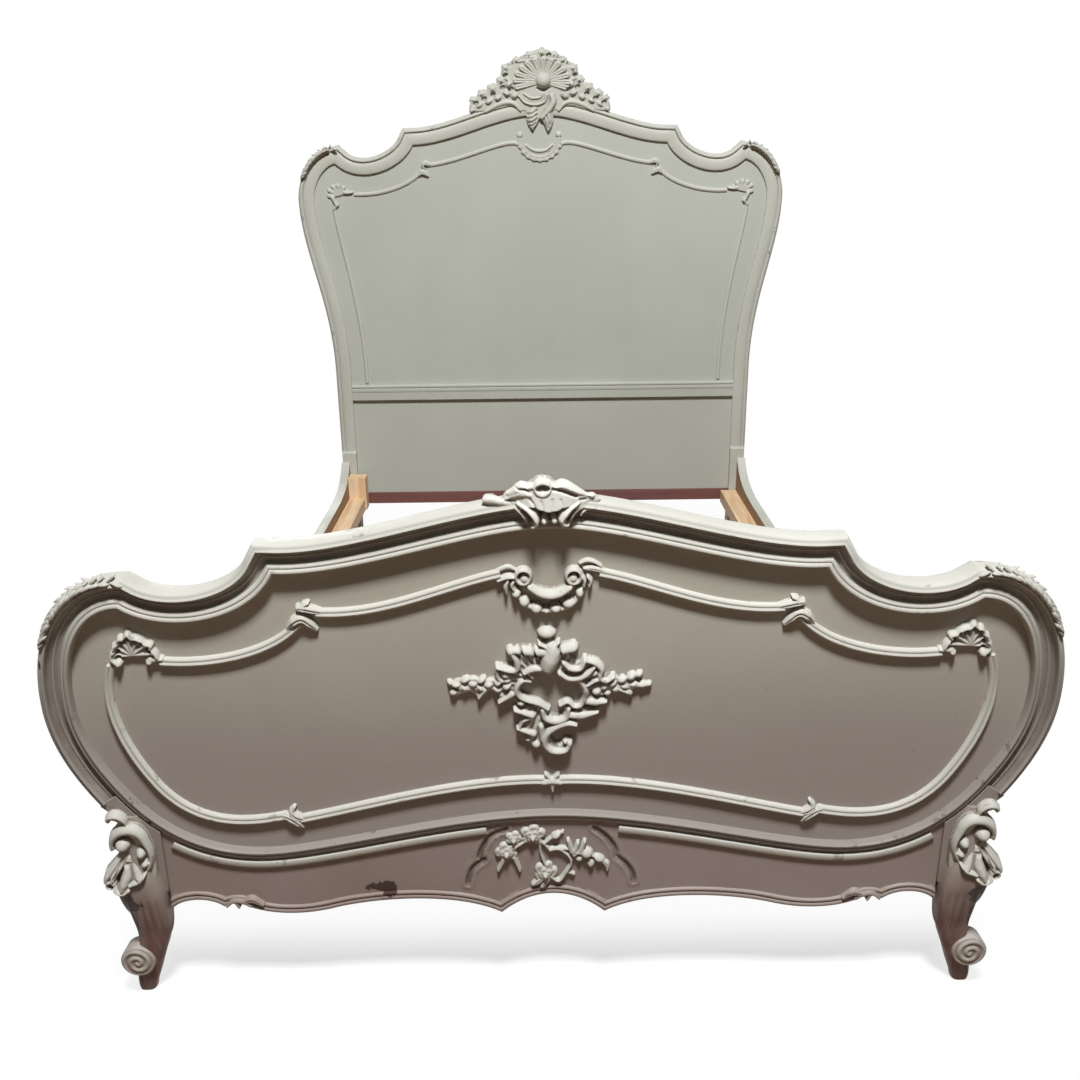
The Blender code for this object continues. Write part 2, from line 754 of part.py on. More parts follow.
def add_trim(name, face_y, line, swell_end=None):
    """Moulding applied to a panel, on both halves. The end in swell_end spreads into a leaf."""
    points = chain(line[0], line[1:], TRIM_STEPS)
    base = PANEL_FACE - CLEAR
    shoulder = base - TRIM_HEIGHT * 0.55
    half = TRIM_WIDTH / 2
    section = [
        (-half, base),
        (-half, shoulder),
        (-TRIM_FLAT / 2, base - TRIM_HEIGHT),
        (TRIM_FLAT / 2, base - TRIM_HEIGHT),
        (half, shoulder),
        (half, base),
    ]
    rings = []
    stations = list(zip(points, mitres(points)))
    for i, station in enumerate(stations):
        from_end = len(stations) - 1 - i if swell_end == "last" else i
        width = LEAF_SWELL if swell_end and from_end == 1 else 1
        rings.append(ring_at(station, [(w * width, y) for w, y in section], face_y))
    for side, mirror in (("left", True), ("right", False)):
        rings_solid(f"{name}_{side}", rings, mirror=mirror)


def add_trims():
    add_trim("foot_trim_upper", FOOT_FACE_Y, FOOT_TRIM_UPPER, "last")
    add_trim("foot_trim_shoulder", FOOT_FACE_Y, FOOT_TRIM_SHOULDER)
    add_trim("foot_trim_side", FOOT_FACE_Y, FOOT_TRIM_SIDE)
    add_trim("foot_trim_lower", FOOT_FACE_Y, FOOT_TRIM_LOWER, "first")
    add_trim("head_trim_upper", HEAD_FACE_Y, HEAD_TRIM_UPPER, "last")
    add_trim("head_trim_shoulder", HEAD_FACE_Y, HEAD_TRIM_SHOULDER)
    low_end = (HEAD_TRIM_SIDE_X, MID_RAIL_TOP_Z + HEAD_TRIM_SIDE_GAP)
    add_trim("head_trim_side", HEAD_FACE_Y, (HEAD_TRIM_SIDE_TOP, (*HEAD_TRIM_SIDE_HANDLES, low_end)))


def dome(back):
    """Layers of a carving whose flat back is at y = back."""
    return [
        (1, back),
        (0.97, back - CARVING_RELIEF * 0.45),
        (0.7, back - CARVING_RELIEF * 0.85),
        (0.3, back - CARVING_RELIEF),
    ]


def add_panel_carvings():
    """Carvings glued to the panels and to the apron."""
    foot = FOOT_FACE_Y + PANEL_FACE - CLEAR
    head = HEAD_FACE_Y + PANEL_FACE - CLEAR
    relief("foot_garland", (0, GARLAND_Z), lobed(GARLAND_SIZE, GARLAND_LOBES), dome(foot))
    section = [
        (0, foot),
        (1, foot),
        (0.94, foot - CARVING_RELIEF * 0.6),
        (0.5, foot - CARVING_RELIEF * 1.3),
        (0.08, foot - CARVING_RELIEF * 0.6),
    ]
    wreath("foot_cartouche", (0, CARTOUCHE_Z), whole(CARTOUCHE_HALF), CARTOUCHE_OPENING, section)
    apron = FOOT_FACE_Y + APRON_FRONT - CLEAR
    relief("foot_spray", (0, SPRAY_Z), lobed(SPRAY_SIZE, SPRAY_LOBES), dome(apron))
    relief("head_collar", (0, COLLAR_Z), lobed(COLLAR_SIZE, COLLAR_LOBES), dome(head))
    foot_fan = lobed(FOOT_SHELL_SIZE, SHELL_LOBES)
    head_fan = lobed(HEAD_SHELL_SIZE, SHELL_LOBES)
    for hand, mirror in (("left", True), ("right", False)):
        relief("foot_shell_" + hand, FOOT_SHELL, foot_fan, dome(foot), mirror=mirror)
        relief("head_shell_" + hand, HEAD_SHELL, head_fan, dome(head), mirror=mirror)


def add_crest(name, outline, ear, face_y, lip_front, centre_z, half):
    """Carving that sits on the cap and hangs over its front. The cap's envelope is cut out of it."""
    front = face_y - lip_front - CRESTS_FRONT
    lip = face_y - lip_front
    layers = [
        (0.96, face_y + CREST_BACK),
        (1, lip),
        (0.94, (lip + front) / 2),
        (0.6, front + 0.003),
        (0.25, front),
    ]
    crest = relief(name, (0, centre_z), whole(half), layers)
    edge = MOULDING_WIDTH + CLEAR
    envelope = [
        (-3 * MOULDING_WIDTH, -lip_front - CLEAR),
        (MOULDING_WIDTH - 0.004, -lip_front - CLEAR),
        (edge, -lip_front * 0.6),
        (edge, 2 * FRAME_BACK),
        (-3 * MOULDING_WIDTH, 2 * FRAME_BACK),
    ]
    cutter = sweep(name + "_seat", both(outline[:ear]), envelope, face_y)
    cut(crest, cutter)


def add_ear_leaves(name, outline, ear, face_y):
    """Leaf strand along the outer edge of the cap, from the ear to the widest place."""
    run = outline[ear + 1 : ear + STEPS + 1]
    base = MOULDING_WIDTH + CLEAR
    rings = []
    for i, station in enumerate(run):
        height = EAR_LEAF_HEIGHT * (0.25 + 0.75 * math.sin(math.pi * i / (len(run) - 1)))
        middle = (EAR_LEAF_FRONT + EAR_LEAF_BACK) / 2
        profile = [
            (base, EAR_LEAF_FRONT),
            (base + height * 0.7, EAR_LEAF_FRONT + 0.004),
            (base + height, middle),
            (base + height * 0.7, EAR_LEAF_BACK - 0.004),
            (base, EAR_LEAF_BACK),
        ]
        rings.append(ring_at(station, profile, face_y))
    for side, mirror in (("left", True), ("right", False)):
        rings_solid(f"{name}_{side}", rings, mirror=mirror)


def on_rail(obj, rail):
    obj.parent = rail
    obj.matrix_parent_inverse = Matrix.Translation(-rail.location)


def add_rails():
    level_end = RAIL_HEAD_Y - RAIL_RISE_LENGTH
    rise = bezier(
        (level_end, RAIL_TOP_Z),
        (RAIL_RISE_LENGTH * 0.55, 0),
        (-0.045, -0.055),
        (RAIL_HEAD_Y, RAIL_RISE_Z),
        STEPS,
    )
    loop = [
        (RAIL_FOOT_Y, RAIL_BOTTOM_Z),
        (RAIL_FOOT_Y, RAIL_TOP_Z),
        (level_end, RAIL_TOP_Z),
        *((p.x, p.y) for p in rise),
        (RAIL_HEAD_Y, RAIL_BOTTOM_Z),
    ]
    outer = RAIL_INNER_X + RAIL_THICKNESS
    batten_outer = RAIL_INNER_X - CLEAR
    batten_low = BATTEN_TOP_Z - BATTEN_HEIGHT
    block_back = HEAD_FACE_Y - BLOCK_HEAD_GAP
    block_front = block_back - BLOCK_DEPTH
    half = HOOK_THICKNESS / 2
    for side, mirror in (("left", True), ("right", False)):
        origin = (RAIL_X, 0, RAIL_BOTTOM_Z)
        finish = {"colour": RAIL_WOOD, "mirror": mirror, "origin": origin}
        rail = side_board("rail_" + side, loop, RAIL_INNER_X, outer, **finish)
        for place, end_y, into in (("foot", RAIL_FOOT_Y - CLEAR, -1), ("head", HEAD_FACE_Y, 1)):
            shape = hook_outline(end_y, into)
            finish = {"colour": IRON, "roughness": 0.6, "metallic": 0.9, "mirror": mirror}
            hook = side_board(f"{place}_hook_{side}", shape, RAIL_X - half, RAIL_X + half, **finish)
            on_rail(hook, rail)
            low = HOOK_Z - CLEAR
            high = HOOK_Z + HOOK_HEIGHT + CLEAR
            deep = end_y - into * (HOOK_IN_RAIL + CLEAR)
            seat = [(deep, low), (end_y, low), (end_y, high), (deep, high)]
            reach = half + CLEAR
            seat_name = f"{place}_hook_seat_{side}"
            cutter = side_board(seat_name, seat, RAIL_X - reach, RAIL_X + reach, mirror=mirror)
            cut(rail, cutter)
        end = block_front - CLEAR if side == "left" else block_back
        start = RAIL_FOOT_Y + BATTEN_FOOT_GAP
        shape = [(start, batten_low), (end, batten_low), (end, BATTEN_TOP_Z), (start, BATTEN_TOP_Z)]
        inner = batten_outer - BATTEN_WIDTH
        batten = side_board("batten_" + side, shape, inner, batten_outer, colour=PINE, mirror=mirror)
        on_rail(batten, rail)
        if side == "left":
            shape = [
                (block_front, BLOCK_BOTTOM_Z),
                (block_back, BLOCK_BOTTOM_Z),
                (block_back, BLOCK_TOP_Z),
                (block_front, BLOCK_TOP_Z),
            ]
            inner = batten_outer - BLOCK_WIDTH
            block = side_board("corner_block_left", shape, inner, batten_outer, colour=PINE, mirror=True)
            on_rail(block, rail)


def main():
    clear_scene()
    foot, foot_ear, foot_knee = foot_outline()
    head, head_ear = head_outline()
    end = add_foot_frame(foot, foot_ear, foot_knee)
    add_foot_panel(foot)
    add_apron(foot, foot_knee)
    add_legs(foot, foot_knee, end)
    add_head_frame(head, head_ear)
    add_head_panels(head)
    add_head_rails()
    add_trims()
    add_panel_carvings()
    add_crest("foot_crest", foot, foot_ear, FOOT_FACE_Y, LIP_FRONT, FOOT_CREST_Z, FOOT_CREST_HALF)
    add_crest("head_crest", head, head_ear, HEAD_FACE_Y, HEAD_LIP_FRONT, HEAD_CREST_Z, HEAD_CREST_HALF)
    add_ear_leaves("foot_ear_leaf", foot, foot_ear, FOOT_FACE_Y)
    add_ear_leaves("head_ear_leaf", head, head_ear, HEAD_FACE_Y)
    add_rails()


main()
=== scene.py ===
"""Looks of the painted bed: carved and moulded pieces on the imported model, paint, wood, light and camera.

Metres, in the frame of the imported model. Outlines are given for the +X half, and the other half mirrors
them. Carvings are height fields over a patch of x and z, seen from the front and given by its corners.
Their forms are in millimetres. A stroke is its form, half widths, heights and points. A lump is x, z, half
sizes, height and turn. A rose is x, z, size, height and turn. A plate is its height and outline, and maybe
a hole and a lean. A seat is in metres.
"""

import math

import bmesh
import bpy
import numpy as np
from mathutils import Matrix, Vector


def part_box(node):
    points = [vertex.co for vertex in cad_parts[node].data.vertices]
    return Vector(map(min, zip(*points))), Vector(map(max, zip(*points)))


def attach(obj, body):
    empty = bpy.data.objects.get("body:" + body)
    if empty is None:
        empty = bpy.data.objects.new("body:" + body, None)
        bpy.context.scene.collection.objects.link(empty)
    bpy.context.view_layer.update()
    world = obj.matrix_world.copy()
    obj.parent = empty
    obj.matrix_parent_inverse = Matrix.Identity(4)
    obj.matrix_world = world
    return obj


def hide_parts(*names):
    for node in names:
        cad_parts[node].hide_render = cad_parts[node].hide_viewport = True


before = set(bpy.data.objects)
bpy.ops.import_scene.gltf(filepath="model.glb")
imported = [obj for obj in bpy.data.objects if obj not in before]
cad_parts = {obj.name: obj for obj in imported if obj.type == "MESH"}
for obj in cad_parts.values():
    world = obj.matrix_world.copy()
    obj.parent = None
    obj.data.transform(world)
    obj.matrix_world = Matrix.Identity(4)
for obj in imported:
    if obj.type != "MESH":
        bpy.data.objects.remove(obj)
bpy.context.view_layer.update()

MM = 0.001

# Each side, and whether it is the mirror image of the +X half
HANDS = (("left", True), ("right", False))

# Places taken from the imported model
PANEL_FACE = 0.018
FOOT_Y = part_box("foot_panel")[0].y - PANEL_FACE
HEAD_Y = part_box("head_panel")[0].y - PANEL_FACE

# Moulding of both boards, measured outward from the sight edge and back from the bead's front
BEAD_WIDTH = 0.016
CAP_WIDTH = 0.048
LIP_FRONT = 0.0025
HEAD_LIP_FRONT = -0.006
FRAME_BACK = 0.045
PANEL_BACK = 0.0303
GROOVE_DEPTH = 0.010
GAP = 0.0003
SINK = 0.0005
GROOVE_PROFILE = (
    (0, FRAME_BACK), (0, PANEL_BACK), (GROOVE_DEPTH, PANEL_BACK), (GROOVE_DEPTH, PANEL_FACE - GAP),
)
BEAD_PROFILE = (
    (0, PANEL_FACE - GAP), (0, 0.0090), (0.0002, 0.0050), (0.0010, 0.0026), (0.0026, 0.0012),
    (0.0044, 0.0012), (0.0060, 0.0022), (0.0072, 0.0036), (0.0080, 0.0043), (0.0088, 0.0038),
    (0.0102, 0.0034), (0.0120, 0.0042), (0.0138, 0.0060), (0.0152, 0.0082), (BEAD_WIDTH, 0.0102),
)
BOTTOM_BEAD_PROFILE = (*BEAD_PROFILE, (BEAD_WIDTH + 0.0008, FRAME_BACK), *GROOVE_PROFILE)

# Double bead, cove with a small ridge, rolled cap and grooved back
FOOT_PROFILE = (
    *BEAD_PROFILE,
    (0.0171, 0.0095), (0.0176, 0.0122), (0.0196, 0.0132), (0.0224, 0.0130), (0.0244, 0.0116),
    (0.0254, 0.0100), (0.0264, 0.0100), (0.0272, 0.0112), (0.0300, 0.0108), (0.0328, 0.0086),
    (0.0344, 0.0062), (0.0350, 0.0030), (0.0352, 0.0004), (0.0357, -0.0018), (0.0366, -LIP_FRONT),
    (0.0380, -0.0020), (0.0392, -0.0006), (0.0402, 0.0002), (0.0422, 0.0006), (0.0444, 0.0016),
    (0.0461, 0.0038), (0.0472, 0.0070), (0.0478, 0.0108), (CAP_WIDTH, 0.0150), (CAP_WIDTH, 0.0300),
    (0.0472, 0.0370), (0.0455, 0.0420), (0.0430, 0.0446), (0.0400, FRAME_BACK),
    *GROOVE_PROFILE,
)

# Broad low moulding, shallow quirk and narrow cap, with the grooved back
HEAD_PROFILE = (
    (0, PANEL_FACE - GAP), (0, 0.0135), (0.0005, 0.0116), (0.0018, 0.0104), (0.0042, 0.0098),
    (0.0080, 0.0092), (0.0124, 0.0088), (0.0166, 0.0087), (0.0208, 0.0088), (0.0248, 0.0092),
    (0.0284, 0.0100), (0.0310, 0.0112), (0.0326, 0.0122), (0.0337, 0.0126), (0.0346, 0.0118),
    (0.0354, 0.0098), (0.0366, 0.0080), (0.0384, 0.0072), (0.0406, 0.0076), (0.0430, 0.0090),
    (0.0452, 0.0110), (0.0470, 0.0134), (0.0482, 0.0164), (0.0486, 0.0200), (0.0486, 0.0300),
    (0.0478, 0.0370), (0.0460, 0.0420), (0.0435, 0.0446), (0.0400, FRAME_BACK),
    *GROOVE_PROFILE,
)

# Bead and flat band along the top of the headboard's middle rail
MID_PROFILE = (
    (-0.0238, SINK), (-0.0238, -0.0006), (-0.0226, -0.0012), (-0.0130, -0.0012), (-0.0116, -0.0006),
    (-0.0112, -0.0002), (-0.0102, -0.0012), (-0.0082, -0.0022), (-0.0058, -0.0026), (-0.0034, -0.0022),
    (-0.0014, -0.0012), (-0.0003, SINK),
)

# Sight edges: the top, then curves as two handles and an end
FOOT_TOP = (0, 0.8225)
FOOT_CURVES = (
    ((0.110, 0), (-0.120, -0.006), (0.409, 0.756)),
    ((0.040, -0.076), (-0.066, -0.046), (0.646, 0.704)),
    ((0.056, 0), (0.002, 0.092), (0.739, 0.546)),
    ((0, -0.062), (0.028, 0.041), (0.681, 0.390)),
    ((-0.036, -0.052), (0.125, -0.007), (0.455, 0.275)),
    ((-0.105, 0.006), (0.160, 0), (0, 0.341)),
)
HEAD_TOP = (0, 1.449)
HEAD_CURVES = (
    ((0.125, 0.003), (-0.126, 0.001), (0.381, 1.370)),
    ((0.031, -0.065), (-0.073, -0.070), (0.618, 1.320)),
    ((0.037, -0.008), (0, 0.047), (0.688, 1.215)),
    ((0, -0.155), (0, 0.240), (0.613, 0.690)),
)
STEPS = 36
EAR = 2 * STEPS
KNEE = 4 * STEPS

# Head posts below the stop of their moulding
HEAD_STOP_Z = 0.430
HEAD_STOP_LENGTH = 0.006
POST_WIDTH = 0.049
POST_SIDE = 0.002
POST_LEVELS = (HEAD_STOP_Z - HEAD_STOP_LENGTH, 0.30, 0.15, 0)
POST_TONE = 0.2

# Trims on the panels. The foot's have two beads, given across and back from the front of the higher one
TRIM_STEPS = 48
TRIM_HALF = 0.0070
TRIM_HEIGHT = 0.0095
TRIM_ACROSS = (
    (-TRIM_HALF, TRIM_HEIGHT + SINK), (-TRIM_HALF, 0.0046), (-0.0066, 0.0022), (-0.0054, 0.0006),
    (-0.0038, 0), (-0.0020, 0.0007), (-0.0008, 0.0018), (0.0001, 0.0024), (0.0010, 0.0020),
    (0.0026, 0.0019), (0.0044, 0.0029), (0.0058, 0.0046), (0.0068, 0.0068), (TRIM_HALF, TRIM_HEIGHT + SINK),
)
TRIMS_OUTWARD = ("upper", "shoulder")
HEAD_TRIM_HALF = 0.0062
HEAD_TRIM_HEIGHT = 0.0052
HEAD_TRIM_ROUND = 0.96
HEAD_TRIM_POINTS = 11
FOOT_TRIMS = {
    "upper": ((0.074, 0.7495), ((0.085, -0.018), (-0.100, -0.008), (0.352, 0.6905))),
    "shoulder": ((0.378, 0.676), ((0.045, -0.055), (-0.070, -0.008), (0.596, 0.613))),
    "side": (
        (0.672, 0.606),
        ((0.026, -0.066), (0.045, 0.066), (0.626, 0.394)),
        ((-0.050, -0.069), (0.080, -0.018), (0.426, 0.337)),
    ),
    "lower": ((0.405, 0.330), ((-0.090, 0.017), (0.130, 0.004), (0.012, 0.396))),
}
HEAD_TRIMS = {
    "upper": ((0.064, 1.368), ((0.030, 0.024), (-0.100, 0.006), (0.340, 1.313))),
    "shoulder": ((0.358, 1.296), ((0.040, -0.044), (-0.075, -0.006), (0.566, 1.232))),
    "side": ((0.630, 1.190), ((-0.010, -0.100), (-0.004, 0.230), (0.564, 0.654))),
}

# Apron: its lower edge, the beads along it as place, half width and share, and the scribed arcs' depth
APRON_FRONT = 0.010
APRON_BACK = 0.034
APRON_END = (0.632, 0.162)
APRON_CURVES = (
    ((-0.017, 0.020), (0.025, 0.021), (0.545, 0.165)),
    ((-0.008, 0.004), (0.008, 0.003), (0.515, 0.170)),
    ((-0.035, -0.022), (0.054, -0.014), (0.366, 0.159)),
    ((-0.066, 0.019), (0.075, 0.043), (0.085, 0.147)),
    ((-0.025, 0.023), (0.030, 0), (0, 0.184)),
)
APRON_STEPS = 26
APRON_COLUMNS = 420
APRON_NEAR = np.linspace(0, 0.0175, 21)
APRON_FAR = np.linspace(0, 1, 34)[1:]
APRON_BEAD = 0.0042
APRON_BEADS = ((0.0042, 0.0044, 1.0), (0.0121, 0.0035, 0.9))
APRON_TONE = (1.4, -0.5)
APRON_PLAIN = 0.0002
SCRIBE_DEPTH = 0.0042
SCRIBE_HALF = 0.0036
SCRIBE_LIP = 0.0016
SCRIBE_LIP_PLACE = 0.0075
SCRIBE_LIP_HALF = 0.0030

# Fillets on the apron, measured from the sight edge
FILLET_INNER = 0.0205
FILLET_OUTER = 0.033
FILLET_FRONT = 0.004
FILLET_BACK = APRON_FRONT + SINK
FILLET_PROFILE = (
    (FILLET_INNER, FILLET_BACK),
    (FILLET_INNER, FILLET_FRONT + 0.0020),
    (FILLET_INNER + 0.0006, FILLET_FRONT + 0.0006),
    (FILLET_INNER + 0.0020, FILLET_FRONT),
    (FILLET_OUTER - 0.0030, FILLET_FRONT + 0.0004),
    (FILLET_OUTER - 0.0010, FILLET_FRONT + 0.0016),
    (FILLET_OUTER, FILLET_FRONT + 0.0040),
    (FILLET_OUTER, FILLET_BACK),
)
FILLET_ENDS = (0.100, 0.625)

# Front legs: height, inner x, outer x, front, back
LEG_SECTIONS = (
    (0.000, 0.680, 0.707, 0.003, 0.030),
    (0.012, 0.677, 0.708, 0.000, 0.032),
    (0.036, 0.668, 0.706, -0.003, 0.034),
    (0.069, 0.657, 0.700, -0.004, 0.034),
    (0.101, 0.645, 0.694, -0.007, 0.034),
    (0.125, 0.639, 0.693, -0.009, 0.036),
    (0.152, 0.636, 0.697, -0.014, 0.038),
    (0.178, 0.635, 0.705, -0.018, 0.040),
    (0.202, 0.636, 0.712, -0.022, 0.044),
    (0.228, 0.641, 0.710, -0.022, 0.044),
    (0.250, 0.646, 0.700, -0.018, 0.041),
    (0.276, 0.648, 0.688, -0.013, 0.038),
    (0.300, 0.650, 0.686, -0.009, 0.036),
    (0.324, 0.654, 0.684, -0.005, 0.034),
    (0.345, 0.664, 0.686, -0.002, 0.030),
)
LEG_STEPS = 24
LEG_ROWS = 260
LEG_SIDES = 132
LEG_SQUARE = 3.0

# Soft flutes down the legs: depth, first x, step, and where they fade in and out as z and length
FLUTE_DEPTH = 0.0012
FLUTE_X = 0.640
FLUTE_STEP = 0.0125
FLUTE_LOW = (0.095, 0.02)
FLUTE_HIGH = (0.200, -0.03)
FLUTE_TONE = 400

# Flat post behind each leg
POST_FRONT = 0.004
POST_OUTER = ((0.696, 0.340), (0.690, 0.320), (0.690, 0.260), (0.694, 0.200))
POST_STEP = 0.002

# Scroll toes
TOE_CENTRE = (0.696, 0.0695)
TOE_RADIUS = 0.0285
TOE_FRONT = -0.0085
TOE_BACK = 0.026
TOE_DOME = 0.0045
TOE_TURN = 0.0120
TOE_WAVE = 0.0014
TOE_AROUND = 84
TOE_FACE = np.linspace(0.03, 0.86, 26)
TOE_EDGE = 1 - 0.14 * np.cos(np.linspace(0.15, np.pi / 2, 6))
TOE_PLAIN = 0.95
TOE_FADE = 0.12
TOE_HUB = 0.15
TOE_TONE = 0.6
TOE_SIDE = ((0.0, 1.0), (TOE_BACK - 0.004, 0.97), (TOE_BACK, 0.88))

# Leaf strands on the ears. A row is its offset from the cap's edge, its y and its lean
EAR_RUN = 25
EAR_LEAVES = 45
EAR_LEAF_SIZE = np.array((0.0125, 0.0064, 0.0042))
EAR_ROWS = ((-0.0058, -0.0015, 0.22), (-0.0014, 0.0050, -0.22), (-0.0002, 0.0130, 0.22))

# Sizes of the leaves along a strand, and waves of their size and lean as a share and an angle per leaf
EAR_LEAST = 0.75
EAR_SWELL = 0.35
EAR_VARY = (0.16, 7.3)
EAR_SWAY = (0.5, 4.1)

# One leaf: an egg with a crease
LEAF_RINGS = 7
LEAF_AROUND = 10
LEAF_END = 0.98
LEAF_TAPER = 0.30
LEAF_CREASE = 0.25
LEAF_CREASE_HALF = 0.35
LEAF_TONE = (0.9, -0.15)

# Shading: angles up to which pieces are smooth, the step of a full edge, and the rounding of edges
SMOOTH_ANGLE = 40
CARVED_ANGLE = 62
FULL_EDGE = 0.0022
EDGE_ROUND = 0.0012

# Carvings: how they sag, sit, round off and take their tone
SAG = 0.4
CARVING_SINK = 0.001
CELL = 1.0
HEAD_CELL = 1.5
PLATE_EDGE = 4 * MM
PLATE_LEAST = 0.05
LEAN_EDGE = 1.6
RIB_EDGE = 3 * MM
LEAST_HEIGHT = 0.15 * MM
TONE_REACH = 4.0 * MM
TONE_HEIGHT = 2.6 * MM
ROUND_REACH = 0.009
RIM_SHARE = 0.12
EDGE_SHARE = 0.3
CROSS_LEAST = 0.05
BLUR_SHARE = 0.6
# Rims and walls of carvings get low tones, so their paint darkens: painted shade and dirty paint
EDGE_TONE = -0.3
WALL_TONE = -0.6

# Sections of strokes: a leaf's round, vein and base, and how high the middles of a band and a cup are
LEAF_ROUND = 0.9
VEIN_DEPTH = 0.28
VEIN_HALF = 0.22
LEAF_BASE = 0.1
BAND_MIDDLE = 0.66
CUP_MIDDLE = 0.62

# Shares of the size of a rose, and of a fan's lobes from the hub to the tip
ROSE_ROWS = ((5, 0.60, 0.46, 0.60), (4, 0.30, 0.34, 0.85))
ROSE_FLAT = 0.85
ROSE_BUD = (0.24, 0.22, 0.5)
FAN_MIDDLE = 0.55
FAN_WIDTHS = (0.45, 0.8, 1)
FAN_HEIGHTS = (0.7, 0.8, 1)

# Half widths of a frilled leaf, and scribed arcs on the apron
FRILL_LEAF = (5, 10, 7.2, 11, 7.5, 10, 6.5, 8, 3)
GROOVES = (
    ((-75, 308), (-100, 295), (-113, 275), (-120, 255)),
    ((-112, 250), (-130, 235), (-138, 215), (-140, 203)),
    ((68, 308), (85, 293), (98, 275), (103, 262)),
    ((103, 254), (120, 238), (130, 220), (133, 205)),
)

# Openwork cartouche on the footboard's panel
CARTOUCHE_PATCH = ((-162, 444), (162, 686))
CARTOUCHE_SAG = 0.28
CARTOUCHE_MOVE = (-2, -1)
CARTOUCHE_FLUTES = ((0, 564), 40, 1.4)
CARTOUCHE_BODY = (
    (-60, 629), (-44, 635), (-20, 635), (-8, 641), (8, 641), (24, 637), (38, 638), (40, 627), (30, 618),
    (42, 611), (52, 618), (64, 613), (80, 604), (83, 590), (80, 579), (70, 570), (64, 555), (60, 540),
    (50, 530), (36, 528), (31, 515), (20, 506), (4, 502), (-10, 506), (-18, 517), (-24, 530), (-40, 539),
    (-54, 549), (-62, 562), (-72, 571), (-82, 581), (-84, 596), (-74, 605), (-56, 601), (-57, 614),
)
CARTOUCHE_HOLE = (
    (-12, 595), (-24, 587), (-31, 576), (-43, 570), (-46, 558), (-34, 549), (-18, 540), (-4, 530),
    (0, 520), (10, 516), (20, 522), (21, 533), (32, 538), (43, 539), (48, 549), (45, 564), (38, 573),
    (28, 581), (14, 592), (0, 597),
)
CARTOUCHE_LEAVES = (
    (
        (-22, 532), (-38, 534), (-56, 530), (-44, 519), (-42, 508), (-52, 500), (-50, 487), (-36, 482),
        (-36, 471), (-26, 461), (-10, 459), (0, 454), (16, 452), (30, 457), (34, 471), (24, 476),
        (14, 467), (4, 471), (2, 484), (12, 495), (30, 500), (42, 502), (38, 511), (20, 510), (0, 504),
        (-12, 512),
    ),
    (
        (-54, 570), (-76, 581), (-100, 580), (-120, 583), (-152, 576), (-157, 568), (-142, 561),
        (-152, 553), (-146, 548), (-124, 555), (-110, 546), (-100, 553), (-84, 558), (-78, 540),
        (-64, 543), (-54, 555),
    ),
    (
        (60, 564), (76, 581), (98, 586), (112, 579), (130, 588), (141, 583), (132, 573), (152, 571),
        (155, 562), (134, 560), (124, 549), (112, 558), (98, 558), (88, 549), (66, 549),
    ),
    ((54, 542), (66, 532), (86, 540), (82, 549), (62, 551)),
    ((32, 519), (50, 510), (74, 521), (66, 528), (44, 530)),
)
CARTOUCHE_PLATES = ((8, CARTOUCHE_BODY, CARTOUCHE_HOLE), *((7, leaf) for leaf in CARTOUCHE_LEAVES))
